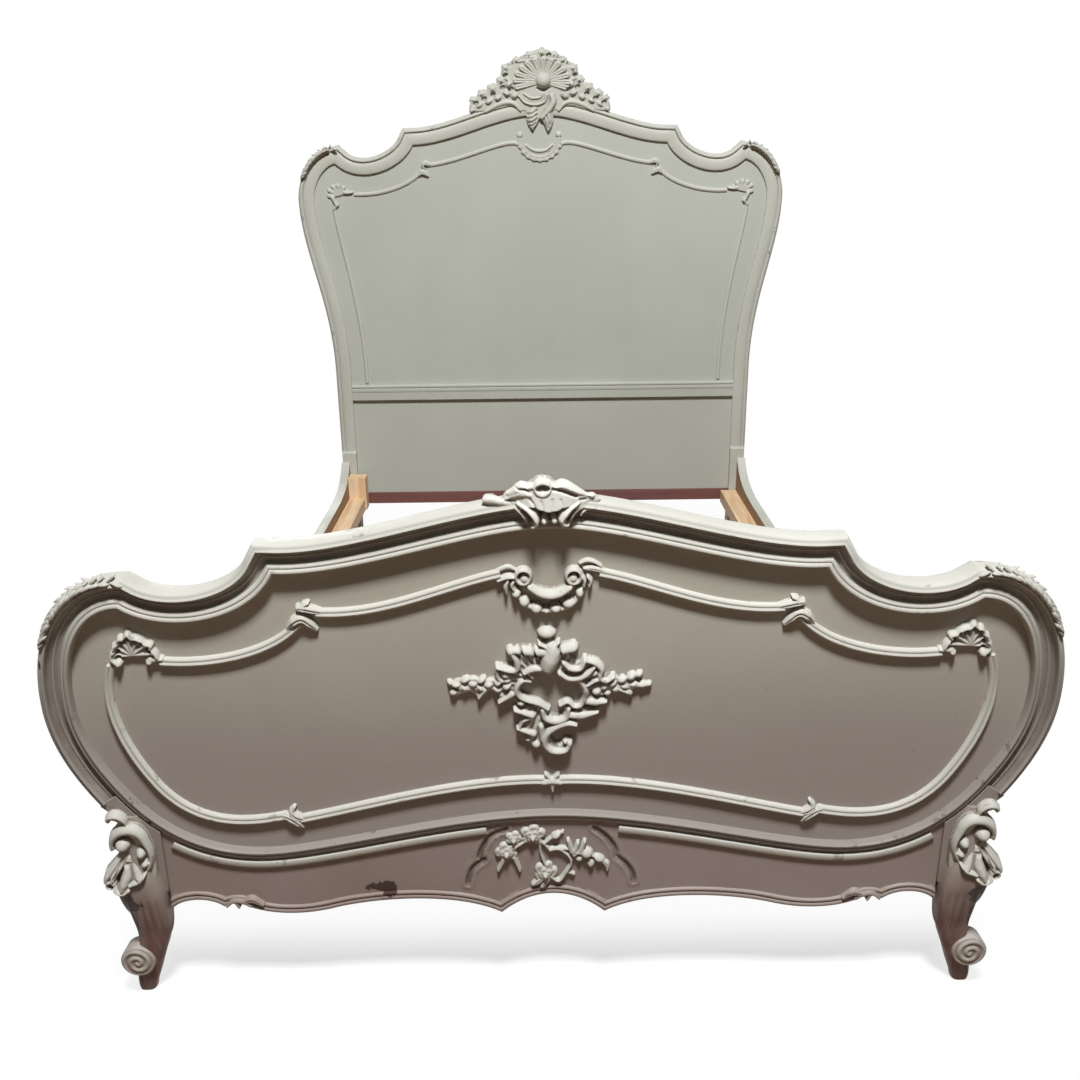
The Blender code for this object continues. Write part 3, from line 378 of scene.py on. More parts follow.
CARTOUCHE = (
    (
        "round", (3, 5, 6, 5, 5, 4.5), (12, 15, 15, 14, 14, 13), (-29, 577), (-42, 579), (-51, 566),
        (-48, 553), (-36, 545), (-18, 539), (-3, 529),
    ),
    ("round", (4, 6, 7, 6, 4), 15, (-12, 528), (-8, 514), (8, 508), (25, 514), (29, 530)),
    ("round", (3, 4.5, 4, 4.5, 5), 13, (15, 535), (27, 541), (37, 533), (48, 535), (54, 547)),
    ("round", (5, 6, 6, 4), 15, (54, 545), (55, 560), (50, 573), (42, 583)),
    ("round", (4, 6, 7, 6, 3), 17, (14, 593), (28, 584), (44, 584), (58, 591), (68, 602)),
    ("round", (4, 6, 6, 4), 18, (21, 611), (31, 601), (47, 601), (54, 614)),
    ("round", (4, 6, 6, 5, 5, 3), 15, (54, 613), (70, 607), (79, 596), (77, 583), (86, 577), (98, 584)),
    ("round", (4, 5, 3), 14, (58, 570), (68, 577), (78, 581)),
    ("round", (9, 9, 8, 7, 5), (18, 16, 13), (2, 628), (-28, 627), (-60, 629)),
    ("round", (6, 8, 8), 18, (6, 627), (20, 630), (36, 634)),
    ("round", (9, 13, 15, 16, 15, 14), (18, 21, 23, 25, 25, 24), (2, 636), (4, 627), (1, 616), (-2, 605)),
    ("+round", 2.2, -7, (-46, 638), (-40, 620)),
    ("+round", 2.2, -6, (-28, 640), (-20, 618)),
    ("+round", 2.0, -6, (13, 640), (18, 624)),
    ("round", (3, 4, 3), 15, (-16, 641), (-6, 636), (2, 629)),
    ("round", (3, 4, 3), 14, (14, 642), (8, 636), (4, 629)),
    ("round", (4, 6, 6, 6, 3), 16, (-57, 624), (-51, 613), (-50, 600), (-60, 597), (-81, 603)),
    ("round", (4, 5, 4), 13, (-81, 596), (-79, 584), (-73, 578)),
    ("round", (5, 7, 7, 5), 16, (-10, 600), (-26, 599), (-39, 593)),
    ("round", (4, 3), 13, (-34, 594), (-26, 583)),
    ("round", (6, 3), 11, (-100, 562), (-110, 548)),
    ("round", (7, 3), 14, (-58, 556), (-79, 542)),
    ("round", (7, 3), 15, (-28, 519), (-55, 529)),
    ("round", (5, 4, 3), 13, (-30, 514), (-42, 509), (-48, 497)),
    ("round", (7, 3), 14, (-26, 486), (-51, 496)),
    ("round", (6, 5), 14, (-14, 499), (-13, 476)),
    ("round", (5, 3), 10, (102, 562), (125, 552)),
    ("round", (7, 8, 3), 14, (56, 542), (70, 540), (87, 542)),
    ("round", (7, 8, 3), 14, (32, 518), (50, 517), (74, 524)),
    (
        "round", (3, 6, 7, 7, 7, 7, 6, 5, 4), 17, (41, 504), (25, 506), (5, 497), (-6, 485), (-8, 469),
        (0, 459), (12, 456), (25, 459), (31, 470),
    ),
)
CARTOUCHE_LUMPS = (
    (-4, 656, 15, 9, 15), (-59, 628, 8, 7, 16), (36, 634, 9, 7, 18), (-22, 467, 9, 8, 14),
    (-35, 475, 6, 5, 11), (-45, 540, 8, 6, 14), (24, 471, 6, 5, 14), (-66, 569, 9, 6, 15, 20),
    (-79, 575, 9, 6, 14, 40), (-81, 563, 9, 6, 13, -25), (-94, 571, 9, 6, 13, 10),
    (-105, 578, 9, 5, 12, 30), (-106, 565, 9, 5, 12, -30), (-118, 572, 9, 6, 12),
    (-130, 578, 9, 5, 11, 20), (-131, 565, 9, 5, 11, -25), (-144, 570, 9, 5, 11),
    (-148, 557, 8, 5, 10, 25), (-153, 573, 6, 4, 9, -20), (72, 558, 9, 7, 14, 20),
    (84, 566, 9, 6, 13, 45), (88, 555, 8, 6, 12, -10), (97, 571, 9, 6, 13, 40), (101, 561, 9, 6, 12, -10),
    (111, 576, 9, 6, 12, 20), (114, 565, 9, 5, 11, -20), (125, 581, 9, 6, 12, 30), (128, 568, 9, 5, 11),
    (137, 584, 7, 5, 10, 20), (142, 566, 9, 5, 10, 10), (152, 567, 6, 4, 9, -10),
    (123, 555, 7, 5, 10, -40), (68, 590, 9, 7, 14, 20), (70, 579, 9, 6, 13), (-68, 588, 9, 7, 14, -20),
    (-66, 579, 9, 6, 13),
)

# Garland under the footboard's crest, with a ring and a ball in each of its curls
GARLAND_PATCH = ((-94, 680), (94, 780))
GARLAND_MOVE = (0, -2.5)
GARLAND = (
    (
        "round", (5, 7, 7.5, 7, 5), (14, 16, 17, 16, 14), (-31, 735), (-16, 726), (0, 723), (16, 726),
        (30, 734),
    ),
    (
        "round", (3, 5, 5, 5, 3), 9, (-53, 730), (-42, 709), (-22, 698), (0, 695), (22, 699), (38, 710),
        (47, 729),
    ),
    ("leaf", (2, 3, 3, 2.4), 6, (-52, 759), (-62, 763), (-74, 759), (-86, 753)),
    ("round", (3, 4, 3), 11, (-54, 750), (-64, 750), (-78, 745)),
    ("round", (3, 5, 2), 12, (-63, 744), (-66, 735), (-65, 723)),
    ("round", (3, 4, 3), 12, (-55, 743), (-57, 737), (-54, 730)),
    ("round", (2, 3, 3, 2), 6, (44, 768), (54, 772), (64, 770), (76, 763)),
    ("leaf", (2, 4, 4, 3), 9, (50, 761), (62, 761), (74, 758), (88, 752)),
    ("round", (3, 4, 3), 12, (48, 750), (51, 743), (50, 735)),
    ("round", (3, 4, 3), 12, (56, 750), (60, 743), (58, 735)),
)
GARLAND_LUMPS = (
    (-51, 724, 8, 7, 14), (-39, 710, 9, 8, 14), (-21, 700, 10, 8, 15), (-6, 696, 7, 5, 12),
    (8, 700, 10, 7, 15), (27, 707, 11, 8, 14), (44, 724, 7, 8, 14),
)
GARLAND_CURLS = ((-40, 750, -38, 746), (35, 750, 34, 746))
GARLAND_RING = (10.8, 3.4, 11)
GARLAND_BALL = (8.4, 8.2, 10.5)

# Crest of the footboard
FOOT_CREST_PATCH = ((-112, 824), (112, 920))
FOOT_CREST_SEAT = (0.008, 0.034)
FOOT_CREST_SAG = 0.25
FOOT_CREST_MOVE = (0, -6)
FOOT_CREST_BODY = (
    (-98, 872), (-94, 880), (-82, 881), (-70, 876), (-64, 884), (-55, 890), (-48, 897), (-40, 901),
    (-32, 899), (-25, 903), (-18, 908), (-8, 909), (2, 906), (8, 900), (15, 903), (24, 902), (34, 896),
    (44, 889), (54, 882), (63, 882), (70, 876), (74, 868), (58, 861), (46, 858), (34, 862), (24, 866),
    (12, 862), (0, 860), (-12, 862), (-24, 866), (-36, 862), (-48, 858), (-62, 861), (-84, 862),
)
FOOT_CREST_PLATES = ((3, FOOT_CREST_BODY, None, (905, 0.30, 36, 6)),)
FOOT_CREST = (
    (
        "round", (3, 5, 6, 6, 5, 3), (14, 19, 23, 24, 22, 18), (-46, 872), (-35, 867), (-26, 860),
        (-20, 851), (-20, 843), (-26, 838),
    ),
    ("round", (3, 4, 4, 3), (8, 12, 14, 11), (-52, 865), (-43, 859), (-36, 851), (-33, 844)),
    (
        "round", (3, 5, 7, 7, 6, 3), (14, 19, 23, 24, 22, 18), (42, 872), (32, 867), (24, 860), (18, 851),
        (20, 844), (27, 841),
    ),
    ("round", (3, 4, 4, 3), (8, 12, 14, 11), (50, 865), (39, 860), (32, 852), (30, 845)),
    ("round", (3, 3, 2), (6, 8, 7), (58, 861), (49, 857), (45, 850)),
    ("+round", (5, 6, 6, 5, 4), (4, 5, 5, 4, 3), (8, 900), (20, 901), (32, 896), (46, 888), (62, 880)),
    ("+round", 2.6, -4.5, (4, 894), (16, 892), (28, 887), (38, 882)),
    ("+round", (4, 6, 5, 3), (3, 4, 4, 2), (-26, 898), (-38, 898), (-50, 892), (-60, 884)),
    ("+round", (3, 5, 4, 3), (2, 4, 3, 2), (-28, 886), (-40, 887), (-52, 882), (-62, 875)),
    ("+round", (4, 6, 6, 4), (2, 4, 4, 2), (-60, 868), (-74, 872), (-86, 874), (-96, 872)),
    ("+round", 2.0, -2.6, (-54, 896), (-45, 893), (-36, 893), (-30, 890)),
    ("+round", 1.8, -2.0, (-64, 873), (-52, 874), (-42, 871)),
    ("+round", 2.2, -2.4, (-28, 880), (-23, 874), (-20, 868)),
    ("+round", 2.2, -1.6, (-12, 878), (-10, 872), (-9, 864)),
    ("+round", 2.2, -1.6, (4, 880), (4, 872), (4, 863)),
    ("+round", 2.2, -1.6, (16, 880), (18, 872), (17, 865)),
    ("+round", 2.0, -2.4, (44, 876), (52, 875)),
    ("+round", 2.2, -2.4, (72, 869), (78, 871)),
)
FOOT_CREST_LUMPS = ((-8, 846, 6, 8, 17), (7, 847, 6, 8, 17))
FOOT_CREST_RING = (-10, 895, 9.2, 4.6, 6, 11)
FOOT_CREST_EYE = (("+round", 4.6, -9, (-15, 896), (-9, 897), (-4, 896)),)

# Flower spray on the apron
SPRAY_PATCH = ((-100, 190), (100, 322))
SPRAY = (
    ("round", 2.8, 8, (-5, 273), (10, 275), (25, 262), (30, 248), (25, 235), (10, 213), (-4, 222)),
    ("leaf", (3, 2), 7, (25, 229), (35, 224)),
    ("round", 2.6, 7, (-20, 292), (-20, 268), (-13, 245)),
    ("round", 2.8, 7, (-32, 300), (-50, 285), (-70, 272)),
    ("round", 2.8, 7, (-5, 273), (-14, 284), (-28, 298)),
    ("leaf", (4, 5, 2), 9, (-14, 221), (-24, 212), (-34, 206)),
    ("leaf", (4, 5, 2), 9, (-8, 217), (-14, 207), (-20, 201)),
    ("leaf", (3, 5), 10, (25, 290), (31, 271)),
    ("leaf", (3, 5), 10, (41, 285), (35, 265)),
    ("leaf", (3, 5), 10, (52, 288), (45, 269)),
    ("round", 3, 7, (10, 275), (40, 272), (62, 262), (76, 254)),
    ("leaf", (4, 3), 8, (-80, 254), (-89, 234)),
    ("leaf", (4, 3), 8, (-62, 257), (-54, 234)),
    ("leaf", (3, 5, 2), 8, (78, 252), (88, 243), (89, 231)),
    ("round", 2.4, 7, (-14, 284), (-2, 295), (6, 300)),
)
SPRAY_LUMPS = (
    (6, 300, 9, 5, 10, 25), (16, 305, 3, 2, 7, 25), (55, 266, 11, 9, 12, 0), (75, 255, 11, 6, 10, -20),
    (62, 246, 7, 9, 9, 0), (43, 256, 7, 6, 9, 0),
)
SPRAY_ROSES = (
    (-32, 301, 20, 15, 10), (-75, 268, 19, 14, 40), (-63, 293, 14, 12, 0), (-12, 229, 20, 15, 70),
    (40, 268, 11, 10, 20),
)

# Crest of the headboard
HEAD_CREST_PATCH = ((-212, 1398), (212, 1645))
HEAD_CREST_CELL = 1.3
HEAD_CREST_SEAT = (0.007, 0.036)
HEAD_CREST_SAG = 0.2
HEAD_CREST_BODY = (
    (-208, 1462), (-204, 1488), (-180, 1508), (-146, 1528), (-118, 1548), (-108, 1578), (-84, 1596),
    (-62, 1606), (-30, 1620), (8, 1630), (44, 1620), (68, 1606), (90, 1594), (110, 1578), (120, 1550),
    (150, 1528), (182, 1507), (204, 1488), (208, 1462), (170, 1460), (120, 1472), (76, 1472), (58, 1458),
    (44, 1462), (41, 1440), (33, 1418), (25, 1405), (14, 1422), (2, 1440), (-8, 1424), (-21, 1409),
    (-34, 1422), (-40, 1442), (-43, 1460), (-58, 1461), (-76, 1474), (-120, 1473), (-170, 1460),
)
HEAD_CREST_PLATES = ((7, HEAD_CREST_BODY),)
HEAD_CREST = (
    (
        "round", (10, 14, 14, 10, 4), (10, 14, 15, 12, 7), (-14, 1474), (-20, 1456), (-22, 1440),
        (-22, 1424), (-21, 1411),
    ),
    (
        "round", (10, 14, 14, 10, 4), (10, 15, 16, 12, 7), (24, 1470), (25, 1452), (27, 1436), (26, 1420),
        (25, 1407),
    ),
    ("round", (8, 11, 11, 8), (15, 18, 18, 14), (36, 1504), (40, 1486), (27, 1464), (8, 1444)),
    ("round", (4, 5, 5, 4), 14, (-60, 1504), (-42, 1486), (-12, 1480), (14, 1488), (22, 1506)),
    ("round", (3, 4, 4, 3), 12, (-46, 1510), (-24, 1498), (2, 1500), (8, 1510)),
    ("+round", 2.6, -4, (-37, 1454), (-22, 1456), (-8, 1464)),
    ("+round", 2.6, -4, (-37, 1441), (-22, 1444), (-8, 1452)),
    ("+round", 2.6, -4, (-35, 1430), (-22, 1432), (-9, 1440)),
    ("+round", 2.6, -3, (-30, 1420), (-22, 1422), (-13, 1428)),
    ("+round", 2.6, -4, (20, 1450), (26, 1432), (25, 1414)),
    ("+round", 2.2, -3, (34, 1452), (36, 1438), (31, 1422)),
    (
        "round", (6, 9, 9, 8, 5), (8, 10, 11, 12, 10), (-160, 1462), (-124, 1480), (-96, 1487),
        (-74, 1482), (-57, 1464),
    ),
    (
        "round", (6, 9, 9, 8, 5), (8, 10, 11, 12, 10), (160, 1462), (124, 1480), (96, 1487), (74, 1482),
        (57, 1463),
    ),
    ("round", (6, 9, 5), 12, (-82, 1540), (-100, 1558), (-98, 1580)),
    ("round", (6, 9, 5), 12, (86, 1540), (106, 1556), (104, 1574)),
    ("leaf", FRILL_LEAF, 12, (-6, 1606), (-36, 1604), (-66, 1598)),
    ("leaf", FRILL_LEAF, 12, (22, 1606), (48, 1606), (72, 1598)),
)
HEAD_CREST_LUMPS = (
    (12, 1546, 24, 23, 24), (-72, 1506, 14, 10, 18, 30), (-96, 1512, 13, 9, 18, -20),
    (-122, 1500, 13, 9, 17, 25), (-150, 1490, 13, 8, 16, 20), (-178, 1480, 12, 8, 14, 30),
    (-200, 1466, 10, 7, 11, 40), (74, 1504, 14, 10, 18, -30), (100, 1512, 13, 9, 18, 20),
    (126, 1500, 13, 9, 17, -25), (154, 1490, 13, 8, 16, -20), (180, 1480, 12, 8, 14, -30),
    (201, 1466, 10, 7, 11, -40), (-90, 1536, 11, 9, 17, 50), (95, 1536, 11, 9, 17, -50),
)
HEAD_CREST_ROSES = (
    (-112, 1546, 15, 18, 20), (-98, 1580, 14, 18, 0), (-138, 1524, 17, 18, 0), (-170, 1510, 15, 16, 60),
    (-196, 1494, 12, 13, 45), (-66, 1600, 12, 16, 30), (118, 1546, 15, 18, 0), (100, 1578, 14, 18, 40),
    (144, 1524, 17, 18, 50), (174, 1508, 15, 16, 15), (196, 1495, 12, 13, 70), (70, 1600, 12, 16, 10),
    (8, 1620, 16, 18, 20), (-30, 1614, 12, 16, 50), (44, 1614, 12, 16, 0),
)
HEAD_CREST_HOLES = (
    (-108, 1526), (-84, 1522), (-137, 1508), (-163, 1496), (-188, 1484), (-100, 1560), (-84, 1590),
    (-48, 1608), (112, 1526), (86, 1521), (140, 1508), (166, 1495), (190, 1483), (105, 1559), (88, 1590),
    (60, 1608), (28, 1612),
)
HEAD_CREST_PIT = ((2, 1), 6, -14)
HEAD_CREST_BROW = (("+round", (3, 5, 3), -9, (-6, 1524), (12, 1519), (30, 1525)),)
HEAD_FAN = (
    (10, 1542),
    (
        (-66, 1528), (-70, 1546), (-64, 1564), (-52, 1580), (-34, 1592), (-12, 1599), (12, 1601),
        (36, 1598), (56, 1589), (72, 1575), (82, 1558), (86, 1540), (82, 1524),
    ),
    9.5,
    16,
)

# Collar under the headboard's crest, with lobes along an arc and a knob at each end
COLLAR_PATCH = ((-76, 1322), (76, 1418))
COLLAR_MOVE = (0, -7)
COLLAR = (
    ("band", 8, 6, (-60, 1388), (-47, 1358), (-26, 1341), (0, 1336), (25, 1342), (45, 1358), (56, 1388)),
    ("round", (4, 6, 4), 7, (-41, 1374), (-20, 1361), (0, 1358), (20, 1362), (37, 1375)),
    ("flat", (8, 10, 8), 3, (-40, 1368), (0, 1350), (38, 1370)),
)
COLLAR_CENTRE = (0, 1390)
COLLAR_RADII = (62, 58)
COLLAR_ANGLES = np.linspace(200, 340, 9)
COLLAR_LOBE = (9, 8, 6)
COLLAR_ENDS = ((-60, 1403), (56, 1403))
COLLAR_KNOB = (9, 9, 7)

# Corner shells
FOOT_SHELL_PATCH = ((584, 588), (684, 674))
FOOT_SHELL_MOVE = (0, 4)
FOOT_SHELL_BODY = (
    (662, 606), (670, 618), (668, 628), (662, 640), (652, 650), (640, 657), (627, 652), (613, 642),
    (603, 630), (600, 614), (610, 612), (622, 618), (637, 621), (652, 617),
)
FOOT_SHELL_PLATES = ((4, FOOT_SHELL_BODY),)
FOOT_SHELL_STROKES = (
    (
        "round", (4, 3.6, 4, 3.4, 4, 3.4, 4, 3.4, 4, 3.6, 4), 12, (662, 611), (669, 619), (667, 627),
        (662, 631), (663, 638), (656, 643), (653, 651), (645, 652), (640, 659), (634, 653), (627, 652),
        (620, 648), (615, 643), (606, 640), (608, 634), (602, 627), (599, 620),
    ),
    ("round", (6, 5, 3), 10, (610, 615), (602, 616), (592, 616)),
)
FOOT_SHELL_HUB = (638, 622)
FOOT_SHELL_RIBS = ((666, 622), (660, 637), (650, 648), (640, 653), (628, 648), (614, 640), (605, 626))
FOOT_SHELL_RIB = ((3, 4.6), (7, 9))
FOOT_SHELL_PITS = ((658, 631), (650, 645), (641, 650), (630, 645), (622, 644), (611, 631), (658, 620))
FOOT_SHELL_PIT = ((1.5, 0), 3.4, -7)
FOOT_SHELL_LUMPS = ((659, 611, 7.5, 7, 14), (612, 612, 7, 5, 12))
HEAD_SHELL_PATCH = ((560, 1180), (652, 1270))
HEAD_SHELL_STROKES = (
    ("round", (7, 6, 7), 10, (632, 1226), (627, 1214), (620, 1203)),
    ("round", (6, 5, 3), 9, (596, 1240), (584, 1239), (570, 1240)),
    ("round", (5, 4), 8, (624, 1200), (630, 1190)),
)
HEAD_SHELL_TIPS = ((642, 1230), (640, 1245), (629, 1256), (613, 1258), (597, 1252), (587, 1242))
HEAD_SHELL_FAN = ((612, 1231), HEAD_SHELL_TIPS, 6.5, 8)

# Leaves where two trims meet, and scrolls at the ends of the apron
FOOT_BREAK_PATCH = ((340, 650), (402, 716))
FOOT_BREAK = (
    ("leaf", (5, 6, 6, 4), (9, 12, 14, 12), (344, 693), (358, 698), (370, 702), (379, 702)),
    (
        "leaf", (3, 7, 7, 6, 3), (9, 14, 14, 12, 8), (397, 668), (386, 680), (374, 685), (363, 676),
        (353, 665),
    ),
    ("round", (4, 4, 2), 11, (375, 702), (369, 707), (362, 710)),
)
FOOT_LOW_BREAK_PATCH = ((392, 306), (444, 364))
FOOT_LOW_BREAK = (
    ("leaf", (5, 6, 5, 3), (9, 12, 12, 9), (400, 331), (412, 338), (419, 346), (414, 354)),
    ("leaf", (5, 8, 6, 2), (10, 13, 12, 8), (432, 339), (420, 335), (410, 326), (402, 316)),
)
FOOT_LOW_KNOT_PATCH = ((-22, 372), (22, 416))
FOOT_LOW_KNOT = (
    ("round", (5, 7, 5), 11, (-14, 396), (0, 398), (14, 396)),
    ("leaf", (5, 3), 11, (0, 396), (1, 382)),
    ("leaf", (4, 3), 9, (-2, 400), (-10, 408)),
    ("leaf", (4, 3), 9, (2, 400), (10, 408)),
)
HEAD_BREAK_PATCH = ((325, 1280), (376, 1342))
HEAD_BREAK_MOVE = (0, -9)
HEAD_BREAK = (
    ("leaf", (5, 7, 5, 3), (9, 12, 11, 8), (334, 1326), (346, 1330), (354, 1324), (350, 1314)),
    ("leaf", (5, 8, 6, 3), (9, 12, 11, 8), (366, 1297), (356, 1305), (346, 1300), (338, 1292)),
)
APRON_SCROLL_PATCH = ((470, 160), (552, 194))
APRON_SCROLL = (
    ("round", (3, 5, 5, 3), 8, (540, 170), (528, 180), (512, 178), (500, 170)),
    ("leaf", (4, 6, 3), 9, (512, 178), (497, 182), (480, 172)),
    ("round", (4, 3), 8, (524, 176), (520, 168)),
)

# Knees of the front legs
KNEE_PATCH = ((630, 176), (738, 380))
KNEE_SEAT = (-0.004, 0.010)
KNEE_SAG = 0.25
KNEE_BODY = (
    (698, 361), (708, 353), (706, 345), (694, 340), (700, 330), (708, 312), (708, 296), (698, 284),
    (692, 278), (702, 268), (720, 252), (726, 240), (724, 230), (716, 220), (704, 214), (688, 210),
    (670, 208), (656, 212), (646, 224), (642, 250), (641, 276), (645, 299), (653, 318), (664, 332),
    (676, 342), (686, 355),
)
KNEE_PLATES = ((5, KNEE_BODY),)
KNEE_STROKES = (
    (
        "round", (3, 4, 5, 5, 4, 3), (9, 12, 14, 14, 12, 9), (678, 338), (681, 349), (690, 357),
        (700, 357), (707, 351), (706, 345),
    ),
    (
        "round", (5, 6, 8, 9, 9, 8, 6, 5, 5, 4), (12, 14, 15, 16, 15, 14, 13, 12, 12, 11), (706, 297),
        (705, 309), (699, 321), (686, 330), (671, 331), (659, 323), (652, 308), (647, 293), (646, 277),
        (651, 262), (657, 254),
    ),
    ("round", (4, 6, 7, 6), (12, 19, 24, 24), (691, 286), (703, 270), (715, 255), (720, 246)),
    ("round", (4, 6, 6, 5), (12, 20, 25, 26), (687, 282), (697, 266), (706, 254), (710, 246)),
    (
        "round", (6, 9, 11, 11, 9), (10, 17, 24, 28, 28), (682, 278), (684, 264), (686, 252), (690, 242),
        (694, 232),
    ),
    ("round", (5, 8, 9, 7), (10, 17, 22, 24), (675, 272), (671, 260), (668, 251), (665, 246)),
    ("round", (3, 4, 4, 3), 25, (657, 254), (664, 246), (674, 242), (682, 238)),
    ("round", (4, 5, 5, 4), 28, (683, 232), (692, 226), (702, 228), (708, 236)),
    ("round", (5, 7, 6), 13, (654, 236), (655, 225), (662, 216)),
    ("+round", 2.2, -5, (689, 281), (698, 264), (705, 252)),
    ("+round", 2.0, -4, (680, 266), (677, 256), (676, 248)),
    ("+round", 2.4, -4, (692, 262), (697, 250), (699, 242)),
    ("+round", 2.6, -6, (700, 304), (692, 313), (680, 314), (672, 305), (673, 292)),
)
KNEE_LUMPS = (
    (688, 305, 13, 12, 20), (660, 289, 9, 9, 18), (656, 270, 9, 6, 17, -35), (668, 211, 7, 4, 12),
    (669, 196, 6, 4, 9),
)
KNEE_RING = (713, 239, 6.0, 3.8, 24)
KNEE_PITS = ((659, 279, 3.4, -6), (712, 237, 4, -12), (683, 270, 4, -4), (651, 274, 2.6, -5))
KNEE_PIT_HALF = (1, 0)

# Paint and wood colours
PAINT = (0.55, 0.55, 0.50)
PAINT_DARK = (0.45, 0.44, 0.39)
# Painted shade of the frame lower down
PAINT_SHADE_LOW = (0.275, 0.250, 0.220)
# Lighter copy of the paint for the footboard's crest: painted light
CREST_LIT_PAINT = (0.660, 0.660, 0.605)
CREST_LIT_DARK = (0.575, 0.570, 0.515)
HEAD_FRAME = (0.520, 0.530, 0.475)
HEAD_FRAME_DARK = (0.440, 0.445, 0.390)
HEAD_PAINT = (0.475, 0.500, 0.445)
HEAD_DARK = (0.420, 0.438, 0.385)
# The panel's paint is a darker, browner copy of the frame's: painted shade
PANEL_SHADED_PAINT = (0.475, 0.460, 0.395)
PANEL_SHADED_DARK = (0.420, 0.395, 0.335)
# Painted shade of the panel lower down
PANEL_SHADE_LOW = (0.335, 0.292, 0.262)
APRON = (0.345, 0.295, 0.270)
APRON_DARK = (0.255, 0.200, 0.175)
LEG_PAINT = (0.350, 0.315, 0.280)
LEG_DARK = (0.255, 0.215, 0.185)
LEG_STAIN = (0.150, 0.060, 0.048)
# Colour of dirty hollows, where it is also painted shade, and of fine specks
DIRT_AND_SHADE = (0.085, 0.055, 0.036)
UNDERCOAT = (0.050, 0.026, 0.018)
STAIN = (0.19, 0.075, 0.065)
STAIN_DARK = (0.11, 0.04, 0.035)
RAIL_WOOD = (0.32, 0.20, 0.10)
RAIL_DARK = (0.20, 0.09, 0.035)
PINE = (0.84, 0.67, 0.46)
PINE_DARK = (0.55, 0.31, 0.14)
BLOCK_DARK = (0.60, 0.36, 0.17)
IRON = (0.11, 0.10, 0.095)
RUST = (0.13, 0.055, 0.03)

# Heights between which frame and panel paint turn darker, a painted shade, and the legs' paint wears off
FRAME_SHADE_FADE = (PAINT_SHADE_LOW, 0.74, 0.50)
PANEL_SHADE_FADE = (PANEL_SHADE_LOW, 0.70, 0.40)
STAIN_LEVELS = (0.32, 0.19)
SHEEN = 0.2

# Stretch of the brush marks: down the frames, across the panel, in fine hairs and in long streaks
BRUSHED_DOWN = (1.0, 1.0, 0.12)
BRUSHED_ACROSS = (0.12, 1.0, 1.0)
HAIRS = (1.0, 1.0, 0.25)
STREAKS = (1.0, 1.0, 0.06)

# Paint: noises as scale, detail and maybe stretch and roughness, ranges of them, and their shares
BLOTCH_NOISE = (2.6, 5)
BLOTCH_RANGE = (0.32, 0.70)
BLOTCH_SHARE = 0.55
STREAK_NOISE = (9, 4)
STREAK_SHARE = 0.45
HAIR_NOISE = (70, 3, HAIRS)
FADE_NOISE = (3, 4)
FADE_WAVE = 0.10
# Hollows turn darker, as dirty paint and as painted shade
HOLLOW_SHADE_RANGE = (-0.10, -0.75)
GRIME_AND_SHADE_NOISE = (22, 3)
GRIME_AND_SHADE_RANGE = (0.22, 0.62, 0.35, 1.0)
SPECK_NOISE = (150, 2)
SPECK_RANGE = (0.70, 0.76)
SPECK_SHARE = 0.22
STAIN_NOISE = (12, 3)
STAIN_WAVE = 0.12
WORN_NOISE = (60, 4, STREAKS)
WORN_RANGE = (0.38, 0.62, 0.60, 1.0)
EDGE_RANGE = (0.35, 0.85)
RUBBED_NOISE = (26, 5, (1, 1, 1), 0.7)
RUBBED_RANGE = (0.60, 0.66)
RAGGED_NOISE = (60, 4)
RAGGED_SHARE = 3.2
SPOT_RANGE = (2.35, 2.65, 1.0, 0.0)
GLOSS_NOISE = (30, 3)
GLOSS_RANGE = (0.3, 0.7, 0.42, 0.62)
BRUSH_DEPTH = 0.6
CHIP_DEPTH = 0.5
PAINT_BUMP = (0.35, 0.0008)

# Wood and iron, in the same way
GRAIN_ACROSS = 14.0
GRAIN_ALONG = 0.7
GRAIN_NOISE = (6, 6)
GRAIN_ROUGH = 0.65
GRAIN_RANGE = (0.30, 0.72)
GRAIN_SHARE = 0.8
PORE_NOISE = (60, 2)
PORE_STRETCH = 0.35
PORE_SHARE = 0.25
PORE_DEPTH = 0.6
BARE_FACE = (-0.3, 0.0)
MOTTLE_NOISE = (5, 4)
MOTTLE_RANGE = (0.3, 0.7)
WOOD_GLOSS = (0.3, 0.7, 0.5, 0.7)
WOOD_BUMP = (0.3, 0.0008)
RUST_NOISE = (90, 5)
RUST_RANGE = (0.40, 0.65)
IRON_GLOSS = (0, 1, 0.45, 0.85)
IRON_METAL = 0.85
IRON_NOISE = (300, 3)
IRON_BUMP = (0.3, 0.0004)

# Places where the paint is gone: x, z and half sizes. The legs' are on both sides
FRAME_CHIPS = (
    (-0.711, 0.727, 0.010, 0.003),
    (-0.746, 0.697, 0.003, 0.006),
    (-0.775, 0.615, 0.002, 0.010),
    (0.676, 0.404, 0.006, 0.016),
    (-0.646, 0.333, 0.003, 0.004),
)
APRON_CHIPS = ((-0.280, 0.200, 0.026, 0.011), (-0.268, 0.194, 0.014, 0.012))
LEG_SPOTS = ((0.702, 0.192, 0.030, 0.024), (0.695, 0.150, 0.010, 0.040), (0.706, 0.040, 0.012, 0.030))
LEG_CHIPS = tuple((side * x, *rest) for x, *rest in LEG_SPOTS for side in (-1, 1))

# Camera and light
CAMERA_PLACE = (-0.0144, FOOT_Y - 1.4806, 1.3308)
CAMERA_DOWN = 19.5
CAMERA_ROLL = -0.71
LENS = 36.0
SENSOR = 36.0
FILL = 0.006
ZENITH = 0.060
KEY_PLACE = (0.1, FOOT_Y - 1.5, 4.6)
KEY_AIM = (0, FOOT_Y + 1.5, 0.8)
KEY_SIZE = (0.75, 0.65)
KEY_POWER = 305
BACK_PLACE = (-0.9, HEAD_Y + 2.4, 1.5)
BACK_AIM = (0, HEAD_Y, 0.8)
BACK_SIZE = (1.6, 1.2)
BACK_POWER = 42

